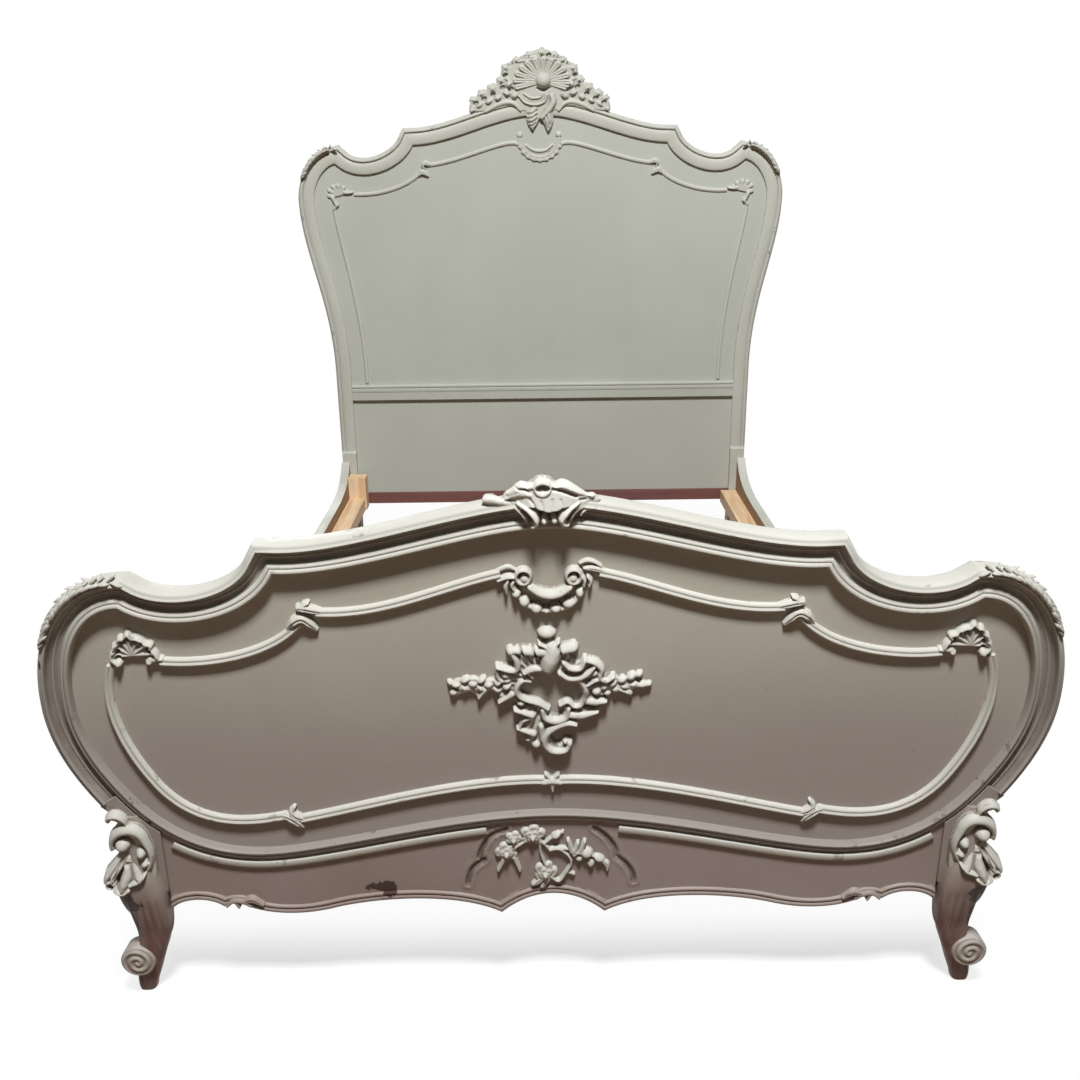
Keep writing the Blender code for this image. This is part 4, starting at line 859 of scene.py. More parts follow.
# Floor: its colour as seen and as it throws light back, how it glows, and where the glow grows
FLOOR_COLOUR = (0.86, 0.86, 0.86)
FLOOR_BOUNCE = (0.19, 0.105, 0.058)
FLOOR_ROUGH = 0.9
FLOOR_GLOW = 0.64
FLOOR_BEHIND = 0.96
FLOOR_DEPTH = (FOOT_Y + 0.03, FOOT_Y + 0.20)
FLOOR_SIDES = (0.60, 0.82)
FLOOR_FADE = (1.1, 2.0)
FLOOR_REACH = 14.0
WHITE = (1, 1, 1, 1)


# Lines and meshes


def bezier(start, out, inward, end, steps):
    """Points of one curve without its first. The handles are offsets from the ends."""
    a = np.array(start, float)
    d = np.array(end, float)
    b = a + np.array(out)
    c = d + np.array(inward)
    t = np.linspace(0, 1, steps + 1)[1:, None]
    u = 1 - t
    return a * u**3 + 3 * b * u * u * t + 3 * c * u * t * t + d * t**3


def chain(start, curves, steps=STEPS):
    """Points of curves that follow each other."""
    parts = [np.array([start], float)]
    for out, inward, end in curves:
        parts.append(bezier(parts[-1][-1], out, inward, end, steps))
    return np.vstack(parts)


def lefts(points):
    """Unit vector to the left of each step of a line."""
    step = np.diff(points, axis=0)
    side = np.stack([-step[:, 1], step[:, 0]], 1)
    return side / np.linalg.norm(side, axis=1, keepdims=True)


def mitres(points, first=None, last=None):
    """Offset vector of each point for a distance of 1, mitred where the line turns."""
    side = lefts(points)
    turn = (side[:-1] * side[1:]).sum(1, keepdims=True)
    inner = (side[:-1] + side[1:]) / (1 + turn)
    first = side[0] if first is None else first
    last = side[-1] if last is None else last
    return np.vstack([first, inner, last])


def smooth_line(points, per_span=6):
    """Catmull-Rom line through points."""
    p = np.array(points, float)
    if len(p) < 3:
        t = np.linspace(0, 1, per_span + 1)[:, None]
        return p[0] * (1 - t) + p[-1] * t
    p = np.vstack([2 * p[0] - p[1], p, 2 * p[-1] - p[-2]])
    found = []
    for a, b, c, d in zip(p, p[1:], p[2:], p[3:]):
        bend = 2 * a - 5 * b + 4 * c - d
        twist = 3 * b - a - 3 * c + d
        for t in np.arange(per_span) / per_span:
            found.append(0.5 * (2 * b + (c - a) * t + bend * t**2 + twist * t**3))
    found.append(p[-2])
    return np.array(found)


def far_from(places, line):
    """Shortest distance from each place to a line of points."""
    best = np.full(len(places), 1e9)
    for p, q in zip(line, line[1:]):
        step = q - p
        t = np.clip((places - p) @ step / max(step @ step, 1e-12), 0, 1)
        away = np.linalg.norm(places - p - t[:, None] * step, axis=1)
        best = np.minimum(best, away)
    return best


def add(node, verts, faces, tone, material, instead=True, mirror=False, angle=SMOOTH_ANGLE, fill=()):
    """Piece that rides the boards, instead of the model's node of that name or beside the nodes.

    Fill lists the edges of openings that are closed with triangles.
    """
    work = bmesh.new()
    layer = work.verts.layers.float.new("tone")
    made = [work.verts.new((-x if mirror else x, y, z)) for x, y, z in verts]
    for vert, value in zip(made, tone):
        vert[layer] = value
    for face in faces:
        if len(set(face)) == len(face):
            work.faces.new([made[n] for n in face])
    rim = [work.edges.get((made[a], made[b])) for a, b in fill]
    if rim:
        edges = [edge for edge in rim if edge]
        bmesh.ops.triangle_fill(work, use_beauty=False, use_dissolve=False, edges=edges)
    bmesh.ops.recalc_face_normals(work, faces=work.faces)
    name = "look_" + node
    mesh = bpy.data.meshes.new(name)
    work.to_mesh(mesh)
    work.free()
    mesh.shade_smooth()
    mesh.set_sharp_from_angle(angle=math.radians(angle))
    mesh.materials.append(material)
    piece = bpy.data.objects.new(name, mesh)
    bpy.context.scene.collection.objects.link(piece)
    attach(piece, "boards")
    if instead:
        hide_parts(node)


def ring_faces(rows, count):
    """Faces of a tube of rings, with a face at each end."""
    faces = [tuple(range(count)), tuple(range(rows * count - count, rows * count))]
    for i in range(rows - 1):
        for j in range(count):
            k = (j + 1) % count
            faces.append((i * count + j, i * count + k, i * count + count + k, i * count + count + j))
    return faces


def profile_tone(profile):
    """How far each point of a profile stands out from its neighbours, from -1 in a quirk to 1 on an edge."""
    p = np.array(profile)
    around = (np.roll(p, 2, 0) + np.roll(p, -2, 0)) / 2
    side = lefts(np.vstack([p, p[:1]]))
    out = ((around - p) * side).sum(1)
    return np.clip(out / FULL_EDGE, -1, 1)


def swept(points, sides, profile, face_y):
    """Rings of a profile (w, y) set along a line."""
    profile = np.array(profile)
    rings = np.empty((len(points), len(profile), 3))
    rings[:, :, 0] = points[:, None, 0] + sides[:, None, 0] * profile[None, :, 0]
    rings[:, :, 2] = points[:, None, 1] + sides[:, None, 1] * profile[None, :, 0]
    rings[:, :, 1] = face_y + profile[None, :, 1]
    return rings


def sweep(node, run, profile, face_y, material, instead=True, mirror=False):
    """Moulding along a run, which is a line's points and offset vectors."""
    points, sides = run
    verts = swept(points, sides, profile, face_y).reshape(-1, 3)
    tone = np.tile(profile_tone(profile), len(points))
    add(node, verts, ring_faces(len(points), len(profile)), tone, material, instead, mirror)


def both(make, name, *given, **extra):
    """Makes a piece on each side of the bed."""
    for hand, mirror in HANDS:
        make(f"{name}_{hand}", *given, mirror=mirror, **extra)


# Carving


class Relief:
    """Carving as heights over a patch of x and z. Inside is positive where something is carved."""

    def __init__(self, low, high, cell):
        self.cell = cell * MM
        self.x = np.arange(low[0], high[0] + cell, cell) * MM
        self.z = np.arange(low[1], high[1] + cell, cell) * MM
        self.X, self.Z = np.meshgrid(self.x, self.z, indexing="ij")
        self.h = np.zeros(self.X.shape)
        self.inside = np.full(self.X.shape, -1.0)

    def put(self, depth, height):
        """Adds a form: depth is the distance inside its edge, and height is used where that is positive."""
        self.inside = np.maximum(self.inside, depth)
        self.h = np.where(depth > 0, np.maximum(self.h, height), self.h)

    def window(self, low, high):
        """Slice of the patch between two corners."""
        i = np.clip(np.searchsorted(self.x, (low[0], high[0])), 0, len(self.x))
        j = np.clip(np.searchsorted(self.z, (low[1], high[1])), 0, len(self.z))
        return np.s_[i[0] : i[1], j[0] : j[1]]

    def stroke(self, points, width, height, form="round"):
        """Ridge along a smooth line, with half widths and heights spread evenly over it.

        A form that starts with + adds its height to what is there already.
        """
        line = smooth_line(points) * MM
        share = np.linspace(0, 1, len(line))
        wide = spread(width, share) * MM
        tall = spread(height, share) * MM
        reach = wide.max() + 2 * MM
        depth = np.full(self.X.shape, -1.0)
        rise = np.zeros(self.X.shape)
        for k in range(len(line) - 1):
            p, q = line[k], line[k + 1]
            part = self.window(np.minimum(p, q) - reach, np.maximum(p, q) + reach)
            dx, dz = q - p
            t = (self.X[part] - p[0]) * dx + (self.Z[part] - p[1]) * dz
            t = np.clip(t / max(dx * dx + dz * dz, 1e-12), 0, 1)
            away = np.hypot(self.X[part] - p[0] - t * dx, self.Z[part] - p[1] - t * dz)
            w = wide[k] + (wide[k + 1] - wide[k]) * t
            top = tall[k] + (tall[k + 1] - tall[k]) * t
            top = top * section(np.clip(away / w, 0, 1), form.lstrip("+"))
            nearer = w - away > depth[part]
            rise[part] = np.where(nearer, top, rise[part])
            depth[part] = np.maximum(depth[part], w - away)
        if form.startswith("+"):
            self.h = self.h + np.where((depth > 0) & (self.inside > 0), rise, 0)
        else:
            self.put(depth, rise)

    def draw(self, strokes):
        for form, width, height, *points in strokes:
            self.stroke(points, width, height, form)

    def pit(self, x, z, half, width, height):
        """Short stroke that cuts into what is carved so far, from x and z by half to each side."""
        dx, dz = half
        self.stroke([(x - dx, z - dz), (x + dx, z + dz)], width, height, "+round")

    def depth_in(self, points):
        """Distance inside a closed smooth outline, negative outside it."""
        loop = smooth_line([*points, points[0]], 3) * MM
        places = np.stack([self.X.ravel(), self.Z.ravel()], 1)
        away = far_from(places, loop).reshape(self.X.shape)
        inside = np.zeros(self.X.shape, bool)
        for p, q in zip(loop, loop[1:]):
            if p[1] != q[1]:
                at = p[0] + (self.Z - p[1]) * (q[0] - p[0]) / (q[1] - p[1])
                inside ^= ((p[1] > self.Z) != (q[1] > self.Z)) & (self.X < at)
        return np.where(inside, away, -away)

    def plate(self, points, height, hole=None, lean=None):
        """Filled outline with rounded edges. A lean of (z, slope, half width, extra) raises the middle."""
        depth = self.depth_in(points)
        if hole:
            depth = np.minimum(depth, -self.depth_in(hole))
        rise = np.full(self.X.shape, height * MM)
        if lean:
            level, slope, half, extra = lean
            across = np.clip(LEAN_EDGE - np.abs(self.X) / (half * MM), 0, 1)
            rise = rise + (extra * MM + np.clip(level * MM - self.Z, 0, None) * slope) * across
        self.put(depth, rise * np.sqrt(np.clip(depth / PLATE_EDGE, PLATE_LEAST, 1)))

    def ribs(self, hub, count, height):
        """Soft flutes that run out from a hub over all that is carved so far."""
        turn = np.arctan2(self.Z - hub[1] * MM, self.X - hub[0] * MM)
        share = np.clip(self.inside / RIB_EDGE, 0, 1)
        self.h = self.h + height * MM * share * np.cos(count * turn)

    def lump(self, x, z, wide, tall, height, turn=0.0, lift=0.0, form="round"):
        """Rounded lump with half sizes wide and tall, turned by an angle in degrees."""
        a = math.radians(turn)
        dx = self.X - x * MM
        dz = self.Z - z * MM
        u = (dx * math.cos(a) + dz * math.sin(a)) / (wide * MM)
        v = (-dx * math.sin(a) + dz * math.cos(a)) / (tall * MM)
        r = np.hypot(u, v)
        self.put((1 - r) * min(wide, tall) * MM, (lift + height * section(np.clip(r, 0, 1), form)) * MM)

    def ring(self, x, z, radius, wide, height, lift=0.0):
        """Round ridge about a place."""
        away = np.abs(np.hypot(self.X - x * MM, self.Z - z * MM) - radius * MM)
        r = np.clip(away / (wide * MM), 0, 1)
        self.put(wide * MM - away, (lift + height * section(r, "round")) * MM)

    def rose(self, x, z, size, height, turn=0.0):
        """Open flower: two rows of cupped petals round a bud."""
        for row, (count, away, petal, rise) in enumerate(ROSE_ROWS):
            for i in range(count):
                a = math.radians(turn + 360 * (i + row * 0.5) / count)
                px = x + size * away * math.cos(a)
                pz = z + size * away * math.sin(a) * ROSE_FLAT
                self.lump(px, pz, size * petal, size * petal * ROSE_FLAT, height * rise, turn, form="cup")
        wide, tall, rise = ROSE_BUD
        self.lump(x, z, size * wide, size * tall, height * rise, 0, height * rise)

    def fan(self, hub, tips, width, height):
        """Lobes from a hub to its tips, each swelling to a rounded end."""
        for tip in tips:
            middle = [a + (b - a) * FAN_MIDDLE for a, b in zip(hub, tip)]
            wide = [width * share for share in FAN_WIDTHS]
            tall = [height * share for share in FAN_HEIGHTS]
            self.stroke([hub, middle, tip], wide, tall, "leaf")

    def softened(self):
        """Heights with the finest steps rounded off, and how far each place stands out."""
        carved = np.where(self.inside > 0, self.h, 0)
        soft = carved * (1 - BLUR_SHARE) + blurred(carved, 1) * BLUR_SHARE
        soft = np.where(self.inside > 0, np.maximum(soft, LEAST_HEIGHT), 0)
        reach = max(2, int(round(TONE_REACH / self.cell)))
        tone = (soft - blurred(blurred(soft, reach), reach)) / TONE_HEIGHT
        return soft, np.clip(tone, -1, 1)


class Front:
    """Front of a relief as a mesh, cut off along the edge of what is carved.

    Each place stands forward from base and sags by a share of its height, so that forms slope gently above
    and are undercut below.
    """

    def __init__(self, relief, base, sag):
        self.relief, self.base, self.sag = relief, base, sag
        self.height, self.tone = relief.softened()
        keep = relief.inside > 0
        keep[[0, -1]] = False
        keep[:, [0, -1]] = False
        number = np.full(keep.shape, -1)
        number[keep] = np.arange(keep.sum())
        self.keep, self.number = keep, number
        places = zip(relief.X[keep], relief.Z[keep], self.height[keep])
        self.verts = [(x, base - h, z - sag * h) for x, z, h in places]
        self.tones = list(self.tone[keep])
        self.crossing, self.rim = {}, []
        corners = keep[:-1, :-1], keep[1:, :-1], keep[1:, 1:], keep[:-1, 1:]
        full = np.logical_and.reduce(corners)
        some = np.logical_or.reduce(corners)
        i, j = np.nonzero(full)
        cells = [number[i, j], number[i + 1, j], number[i + 1, j + 1], number[i, j + 1]]
        self.faces = np.stack(cells, 1).tolist()
        for i, j in zip(*np.nonzero(some & ~full)):
            self.cut_cell([(i, j), (i + 1, j), (i + 1, j + 1), (i, j + 1)])

    def cross(self, a, b):
        """Point where the edge between an inside corner a and an outside corner b leaves the carving."""
        if (a, b) not in self.crossing:
            relief = self.relief
            deep, out = relief.inside[a], min(relief.inside[b], -1e-6)
            t = np.clip(deep / (deep - out), CROSS_LEAST, 1 - CROSS_LEAST)
            x = relief.X[a] + (relief.X[b] - relief.X[a]) * t
            z = relief.Z[a] + (relief.Z[b] - relief.Z[a]) * t
            edge = EDGE_SHARE * self.height[a]
            self.crossing[a, b] = len(self.verts)
            self.verts.append((x, self.base - edge, z - self.sag * edge))
            self.tones.append(self.tone[a] + EDGE_TONE)
        return self.crossing[a, b]

    def cut_cell(self, corners):
        """Face of a cell that the edge crosses, and the cell's part of the rim."""
        loop, left, first = [], None, None
        for a, b in zip(corners, corners[1:] + corners[:1]):
            if self.keep[a]:
                loop.append(self.number[a])
            if self.keep[a] and not self.keep[b]:
                left = self.cross(a, b)
                loop.append(left)
            if self.keep[b] and not self.keep[a]:
                entered = self.cross(b, a)
                loop.append(entered)
                if left is None:
                    first = entered
                else:
                    self.rim.append((left, entered))
                    left = None
        if left is not None and first is not None:
            self.rim.append((left, first))
        if len(loop) > 2:
            self.faces.append([int(n) for n in loop])

    def with_rounded_back(self, back):
        """Points, faces and tones of the front with a back that curves away from its rim."""
        start = len(self.verts)
        share = np.sqrt(np.clip(self.relief.inside[self.keep] / ROUND_REACH, 0, 1))
        share = np.concatenate([share, np.full(start - len(share), RIM_SHARE)])
        deep = self.base + (back - self.base) * share
        verts = self.verts + [(x, y, z) for (x, _, z), y in zip(self.verts, deep)]
        faces = self.faces + [[start + n for n in face[::-1]] for face in self.faces]
        faces += [[a, b, start + b, start + a] for a, b in self.rim]
        return verts, faces, self.tones + [0.0] * start

    def with_walls(self, back):
        """Points, faces and tones of the front with walls back to a flat plane, and the walls' far edges."""
        verts, tones = list(self.verts), list(self.tones)
        behind = {}
        for n in (n for pair in self.rim for n in pair):
            if n not in behind:
                behind[n] = len(verts)
                verts.append((verts[n][0], back, verts[n][2]))
                tones.append(WALL_TONE)
        walls = [[a, b, behind[b], behind[a]] for a, b in self.rim]
        return verts, self.faces + walls, tones, [(behind[a], behind[b]) for a, b in self.rim]


def spread(values, share):
    """Values set evenly along a line, read at shares of its length."""
    values = np.atleast_1d(np.array(values, float))
    return np.interp(share, np.linspace(0, 1, len(values)), values)


def section(r, form):
    """Height across a form at a share r of its half width."""
    round_top = np.sqrt(np.clip(1 - r * r, 0, 1))
    if form == "leaf":
        return round_top * LEAF_ROUND - VEIN_DEPTH * np.exp(-((r / VEIN_HALF) ** 2)) + LEAF_BASE
    if form == "band":
        dished = BAND_MIDDLE + (1 - BAND_MIDDLE) * (2 * r * r - r**4)
        return np.sqrt(np.clip(1 - r**6, 0, 1)) * dished
    if form == "cup":
        return np.sqrt(np.clip(1 - r**4, 0, 1)) * (CUP_MIDDLE + (1 - CUP_MIDDLE) * r * r)
    if form == "flat":
        return np.sqrt(np.clip(1 - r**8, 0, 1))
    return round_top


def blurred(field, reach):
    """Box blur along both axes."""
    for axis in (0, 1):
        total = np.zeros_like(field)
        for k in range(-reach, reach + 1):
            total += np.roll(field, k, axis)
        field = total / (2 * reach + 1)
    return field


def carve(node, relief, seat, material, sag=SAG, move=(0, 0), rounded=False, **extra):
    """Piece from a relief, moved in x and z by millimetres. The seat is the y of its base and its back."""
    base, back = seat
    front = Front(relief, base, sag)
    made = front.with_rounded_back(back) if rounded else front.with_walls(back)
    verts, faces, tones, *fill = made
    verts = [(x + move[0] * MM, y, z + move[1] * MM) for x, y, z in verts]
    add(node, verts, faces, tones, material, angle=CARVED_ANGLE, fill=fill[0] if fill else (), **extra)


# Materials


class Nodes:
    """Short ways to build the nodes of a material or of the world."""

    def __init__(self, owner):
        owner.use_nodes = True
        self.owner = owner
        self.tree = owner.node_tree
        self.shader = self.tree.nodes.get("Principled BSDF")
        self.coordinates = self.node("ShaderNodeTexCoord")
        self.place = self.coordinates["Object"]

    def feed(self, node, inputs):
        """Feeds a node's inputs from other sockets or with constants."""
        for key, value in inputs.items():
            if isinstance(value, bpy.types.NodeSocket):
                self.tree.links.new(value, node.inputs[key])
            else:
                node.inputs[key].default_value = value

    def node(self, kind, inputs=None, **settings):
        """Outputs of a new node."""
        made = self.tree.nodes.new(kind)
        for key, value in settings.items():
            setattr(made, key, value)
        self.feed(made, inputs or {})
        return made.outputs

    def noise(self, scale, detail=3.0, stretch=(1, 1, 1), rough=0.55):
        vector = self.node("ShaderNodeMapping", {"Scale": stretch, "Vector": self.place})["Vector"]
        inputs = {"Scale": scale, "Detail": detail, "Roughness": rough, "Vector": vector}
        return self.node("ShaderNodeTexNoise", inputs)["Fac"]

    def ramp(self, value, low, high, start=0.0, end=1.0, kind="SMOOTHSTEP"):
        """Value stretched so that low gives start and high gives end, held beyond them."""
        inputs = {"Value": value, "From Min": low, "From Max": high, "To Min": start, "To Max": end}
        return self.node("ShaderNodeMapRange", inputs, interpolation_type=kind)["Result"]

    def math(self, operation, a, b=0.0, clamp=False):
        return self.node("ShaderNodeMath", {0: a, 1: b}, operation=operation, use_clamp=clamp)["Value"]

    def plus(self, a, b, clamp=False):
        return self.math("ADD", a, b, clamp)

    def times(self, a, b):
        return self.math("MULTIPLY", a, b)

    def most(self, first, *others):
        for other in others:
            first = self.math("MAXIMUM", first, other)
        return first

    def mix(self, share, a, b):
        a, b = ((*colour, 1) if isinstance(colour, tuple) else colour for colour in (a, b))
        return self.node("ShaderNodeMix", {"Factor": share, "A": a, "B": b}, data_type="RGBA")["Result"]

    def part(self, vector, axis):
        return self.node("ShaderNodeSeparateXYZ", {"Vector": vector})[axis]

    def axis(self, name):
        return self.part(self.place, name)

    def normal(self, name):
        return self.part(self.node("ShaderNodeNewGeometry")["Normal"], name)

    def tone(self):
        return self.node("ShaderNodeAttribute", attribute_name="tone")["Fac"]

    def seen(self):
        """1 for rays from the camera and for mirrored or refracted ones, 0 for all others."""
        path = self.node("ShaderNodeLightPath")
        return self.most(path["Is Camera Ray"], path["Is Glossy Ray"], path["Is Transmission Ray"])

    def bump(self, height, strength, distance):
        inputs = {"Height": height, "Strength": strength, "Distance": distance}
        self.feed(self.shader, {"Normal": self.node("ShaderNodeBump", inputs)["Normal"]})

    def spot(self, x, z, wide, tall, rough):
        """1 inside a ragged patch round a place seen from the front, 0 outside."""
        dx = self.math("DIVIDE", self.math("SUBTRACT", self.axis("X"), x), wide)
        dz = self.math("DIVIDE", self.math("SUBTRACT", self.axis("Z"), z), tall)
        square = self.plus(self.times(dx, dx), self.times(dz, dz))
        return self.ramp(self.plus(square, self.times(rough, RAGGED_SHARE)), *SPOT_RANGE)


def shaded_lower(n, colour, lower, high, low):
    """Turns a paint into its darker lower colour, a painted shade, between two heights."""
    level = n.plus(n.axis("Z"), n.times(n.noise(*FADE_NOISE), FADE_WAVE))
    return n.mix(n.ramp(level, high + FADE_WAVE / 2, low + FADE_WAVE / 2), colour, lower)


def dirt_and_hollow_shade(n, colour, tone, dirt_and_shade):
    """Darker hollows, partly dirty paint and partly painted shade, and fine dark specks everywhere."""
    hollow_shade = n.ramp(tone, *HOLLOW_SHADE_RANGE)
    grime_and_shade = n.times(hollow_shade, n.ramp(n.noise(*GRIME_AND_SHADE_NOISE), *GRIME_AND_SHADE_RANGE))
    colour = n.mix(n.times(grime_and_shade, dirt_and_shade), colour, DIRT_AND_SHADE)
    speck = n.ramp(n.noise(*SPECK_NOISE), *SPECK_RANGE)
    return n.mix(n.times(speck, SPECK_SHARE), colour, DIRT_AND_SHADE)


def stained(n, colour, stain):
    """Paint worn off in long streaks towards the floor, down to stained wood."""
    level = n.plus(n.axis("Z"), n.times(n.noise(*STAIN_NOISE), STAIN_WAVE))
    worn = n.ramp(n.noise(*WORN_NOISE), *WORN_RANGE)
    return n.mix(n.times(n.ramp(level, *STAIN_LEVELS, 0.0, stain), worn), colour, LEG_STAIN)


def bare_share(n, tone, wear, chips):
    """1 where the paint is gone: along rubbed edges and in given places."""
    rubbed = n.times(n.ramp(tone, *EDGE_RANGE), n.ramp(n.noise(*RUBBED_NOISE), *RUBBED_RANGE))
    ragged = n.noise(*RAGGED_NOISE)
    return n.most(n.times(rubbed, wear), *(n.spot(*chip, ragged) for chip in chips))


def paint(name, light, dark, dirt_and_shade=0.55, wear=0.5, stain=0.0, chips=(), fade=None, brushed=BRUSHED_DOWN):
    """Mottled, streaked old paint with wear, chips, and hollows darkened by soiling and painted shade."""
    n = Nodes(bpy.data.materials.new(name))
    blotch = n.ramp(n.noise(*BLOTCH_NOISE), *BLOTCH_RANGE)
    streak = n.noise(*STREAK_NOISE, brushed)
    fine = n.noise(*HAIR_NOISE)
    tone = n.tone()
    share = n.plus(n.times(blotch, BLOTCH_SHARE), n.times(streak, STREAK_SHARE), True)
    colour = n.mix(share, dark, light)
    # Painted shade: the paint turns darker lower down
    if fade:
        colour = shaded_lower(n, colour, *fade)
    colour = dirt_and_hollow_shade(n, colour, tone, dirt_and_shade)
    if stain:
        colour = stained(n, colour, stain)
    bare = bare_share(n, tone, wear, chips)
    rough = n.ramp(n.noise(*GLOSS_NOISE), *GLOSS_RANGE)
    colour = n.mix(bare, colour, UNDERCOAT)
    n.feed(n.shader, {"Base Color": colour, "Roughness": rough, "Specular IOR Level": SHEEN})
    height = n.plus(n.times(fine, BRUSH_DEPTH), n.times(streak, BRUSH_DEPTH))
    n.bump(n.math("SUBTRACT", height, n.times(bare, CHIP_DEPTH)), *PAINT_BUMP)
    return n.owner


def wood(name, light, dark, along, painted=None):
    """Wood with grain along an axis. With painted 1 or -1 only the face turned to the other x is bare."""
    n = Nodes(bpy.data.materials.new(name))
    stretch = [GRAIN_ALONG if axis == along else GRAIN_ACROSS for axis in "XYZ"]
    grain = n.noise(*GRAIN_NOISE, stretch, GRAIN_ROUGH)
    pore = n.noise(*PORE_NOISE, [s * PORE_STRETCH for s in stretch])
    grained = n.times(n.ramp(grain, *GRAIN_RANGE), GRAIN_SHARE)
    colour = n.mix(n.plus(grained, n.times(pore, PORE_SHARE), True), dark, light)
    if painted:
        face = n.ramp(n.times(n.normal("X"), float(painted)), *BARE_FACE)
        mottled = n.mix(n.ramp(n.noise(*MOTTLE_NOISE), *MOTTLE_RANGE), PAINT_DARK, PAINT)
        colour = n.mix(face, colour, mottled)
    n.feed(n.shader, {"Base Color": colour, "Roughness": n.ramp(grain, *WOOD_GLOSS)})
    n.bump(n.plus(grain, n.times(pore, PORE_DEPTH)), *WOOD_BUMP)
    return n.owner


def iron(name):
    """Dark iron with rust."""
    n = Nodes(bpy.data.materials.new(name))
    rust = n.ramp(n.noise(*RUST_NOISE), *RUST_RANGE)
    rough = n.ramp(rust, *IRON_GLOSS)
    n.feed(n.shader, {"Base Color": n.mix(rust, IRON, RUST), "Roughness": rough, "Metallic": IRON_METAL})
    n.bump(n.noise(*IRON_NOISE), *IRON_BUMP)
    return n.owner


# Boards


def foot_outline():
    """Points and offset vectors of the footboard's sight edge."""
    points = chain(FOOT_TOP, FOOT_CURVES)
    return points, mitres(points, (0, 1), (0, -1))


def head_outline():
    """Points and offset vectors of the headboard's sight edge, down to the stop of its moulding."""
    points = chain(HEAD_TOP, HEAD_CURVES)
    points = np.vstack([points, (points[-1][0], HEAD_STOP_Z)])
    return points, mitres(points, (0, 1), (1, 0))


def mirrored_run(points, sides):
    """A half line that starts at x = 0, with its mirror image before it."""
    flip = np.array((-1, 1))
    return np.vstack([points[:0:-1] * flip, points]), np.vstack([sides[:0:-1] * flip, sides])


def add_foot_frame(outline, skin):
    """Top rail, two stiles and the bottom bead."""
    points, sides = outline
    run = mirrored_run(points[: EAR + 1], sides[: EAR + 1])
    sweep("foot_top_rail", run, FOOT_PROFILE, FOOT_Y, skin)
    end = lefts(points[KNEE - 1 : KNEE + 1])[0]
    stile = points[EAR : KNEE + 1], np.vstack([sides[EAR:KNEE], end])
    both(sweep, "foot_stile", stile, FOOT_PROFILE, FOOT_Y, skin)
    turn = sides[KNEE:][::-1].copy()
    turn[-1] = end
    run = mirrored_run(points[KNEE:][::-1], turn)
    sweep("foot_bottom_bead", run, BOTTOM_BEAD_PROFILE, FOOT_Y, skin)


def plain_post_profile():
    """Section of a head post below its moulding: the same number of points with a flat front."""
    plain = np.array(HEAD_PROFILE)
    plain = np.stack([np.minimum(plain[:, 0], POST_WIDTH), np.maximum(plain[:, 1], 0)], 1)
    for k in range(1, len(plain) - len(GROOVE_PROFILE)):
        if plain[k, 1] < PANEL_FACE and plain[k, 0] < POST_WIDTH - POST_SIDE:
            plain[k, 1] = 0
    return plain


def add_head_frame(outline, skin):
    """Top rail and two posts that run to the floor."""
    points, sides = outline
    run = mirrored_run(points[: EAR + 1], sides[: EAR + 1])
    sweep("head_top_rail", run, HEAD_PROFILE, HEAD_Y, skin)
    plain = plain_post_profile()
    low = np.array([(points[-1][0], z) for z in POST_LEVELS])
    rings = [
        swept(points[EAR:], sides[EAR:], HEAD_PROFILE, HEAD_Y),
        swept(low, np.tile((1.0, 0.0), (len(low), 1)), plain, HEAD_Y),
    ]
    rings = np.vstack(rings)
    tone = np.tile(profile_tone(HEAD_PROFILE), len(rings))
    tone[-len(low) * len(plain) :] *= POST_TONE
    faces = ring_faces(len(rings), len(plain))
    both(add, "head_post", rings.reshape(-1, 3), faces, tone, skin)


def add_mid_bead(skin):
    """Moulding along the top of the headboard's middle rail."""
    low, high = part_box("head_mid_rail")
    ends = np.array([(low.x + GAP, high.z), (high.x - GAP, high.z)])
    sweep("head_mid_bead", (ends, mitres(ends)), MID_PROFILE, low.y, skin, instead=False)


def foot_trim_profile(lean):
    """Two shallow beads side by side. The one on the side of the lean, 1 or -1, lies further back."""
    front = PANEL_FACE - TRIM_HEIGHT
    return [(w * lean, front + y) for w, y in TRIM_ACROSS][::lean]


def head_trim_profile():
    """One low bead."""
    turn = np.linspace(-1, 1, HEAD_TRIM_POINTS)
    rise = HEAD_TRIM_HEIGHT * np.sqrt(1 - HEAD_TRIM_ROUND * turn**2)
    face = [(HEAD_TRIM_HALF * t, PANEL_FACE - h) for t, h in zip(turn, rise)]
    return [(-HEAD_TRIM_HALF, PANEL_FACE + SINK), *face, (HEAD_TRIM_HALF, PANEL_FACE + SINK)]


def add_trim(node, line, profile, face_y, skin):
    """One applied strip on both sides of a board."""
    points = chain(line[0], line[1:], TRIM_STEPS)
    both(sweep, node, (points, mitres(points)), profile, face_y, skin)


def add_foot_trims(skin):
    """Eight strips. Those drawn outward have their further bead on the left, the rest on the right."""
    for name, line in FOOT_TRIMS.items():
        profile = foot_trim_profile(1 if name in TRIMS_OUTWARD else -1)
        add_trim("foot_trim_" + name, line, profile, FOOT_Y, skin)


def add_head_trims(skin):
    for name, line in HEAD_TRIMS.items():
        add_trim("head_trim_" + name, line, head_trim_profile(), HEAD_Y, skin)


def apron_relief(places, edge):
    """How far the apron's face stands forward: a double bead along its lower edge, and scribed arcs."""
    away = far_from(places, edge)
    beads = [
        share * np.sqrt(np.clip(1 - ((away - at) / half) ** 2, 0, 1))
        for at, half, share in APRON_BEADS
    ]
    cut = np.minimum.reduce([far_from(places, smooth_line(line) * MM) for line in GROOVES])
    groove = SCRIBE_DEPTH * np.exp(-((cut / SCRIBE_HALF) ** 2))
    lip = SCRIBE_LIP * np.exp(-(((cut - SCRIBE_LIP_PLACE) / SCRIBE_LIP_HALF) ** 2))
    return APRON_BEAD * np.maximum(*beads) - groove + lip


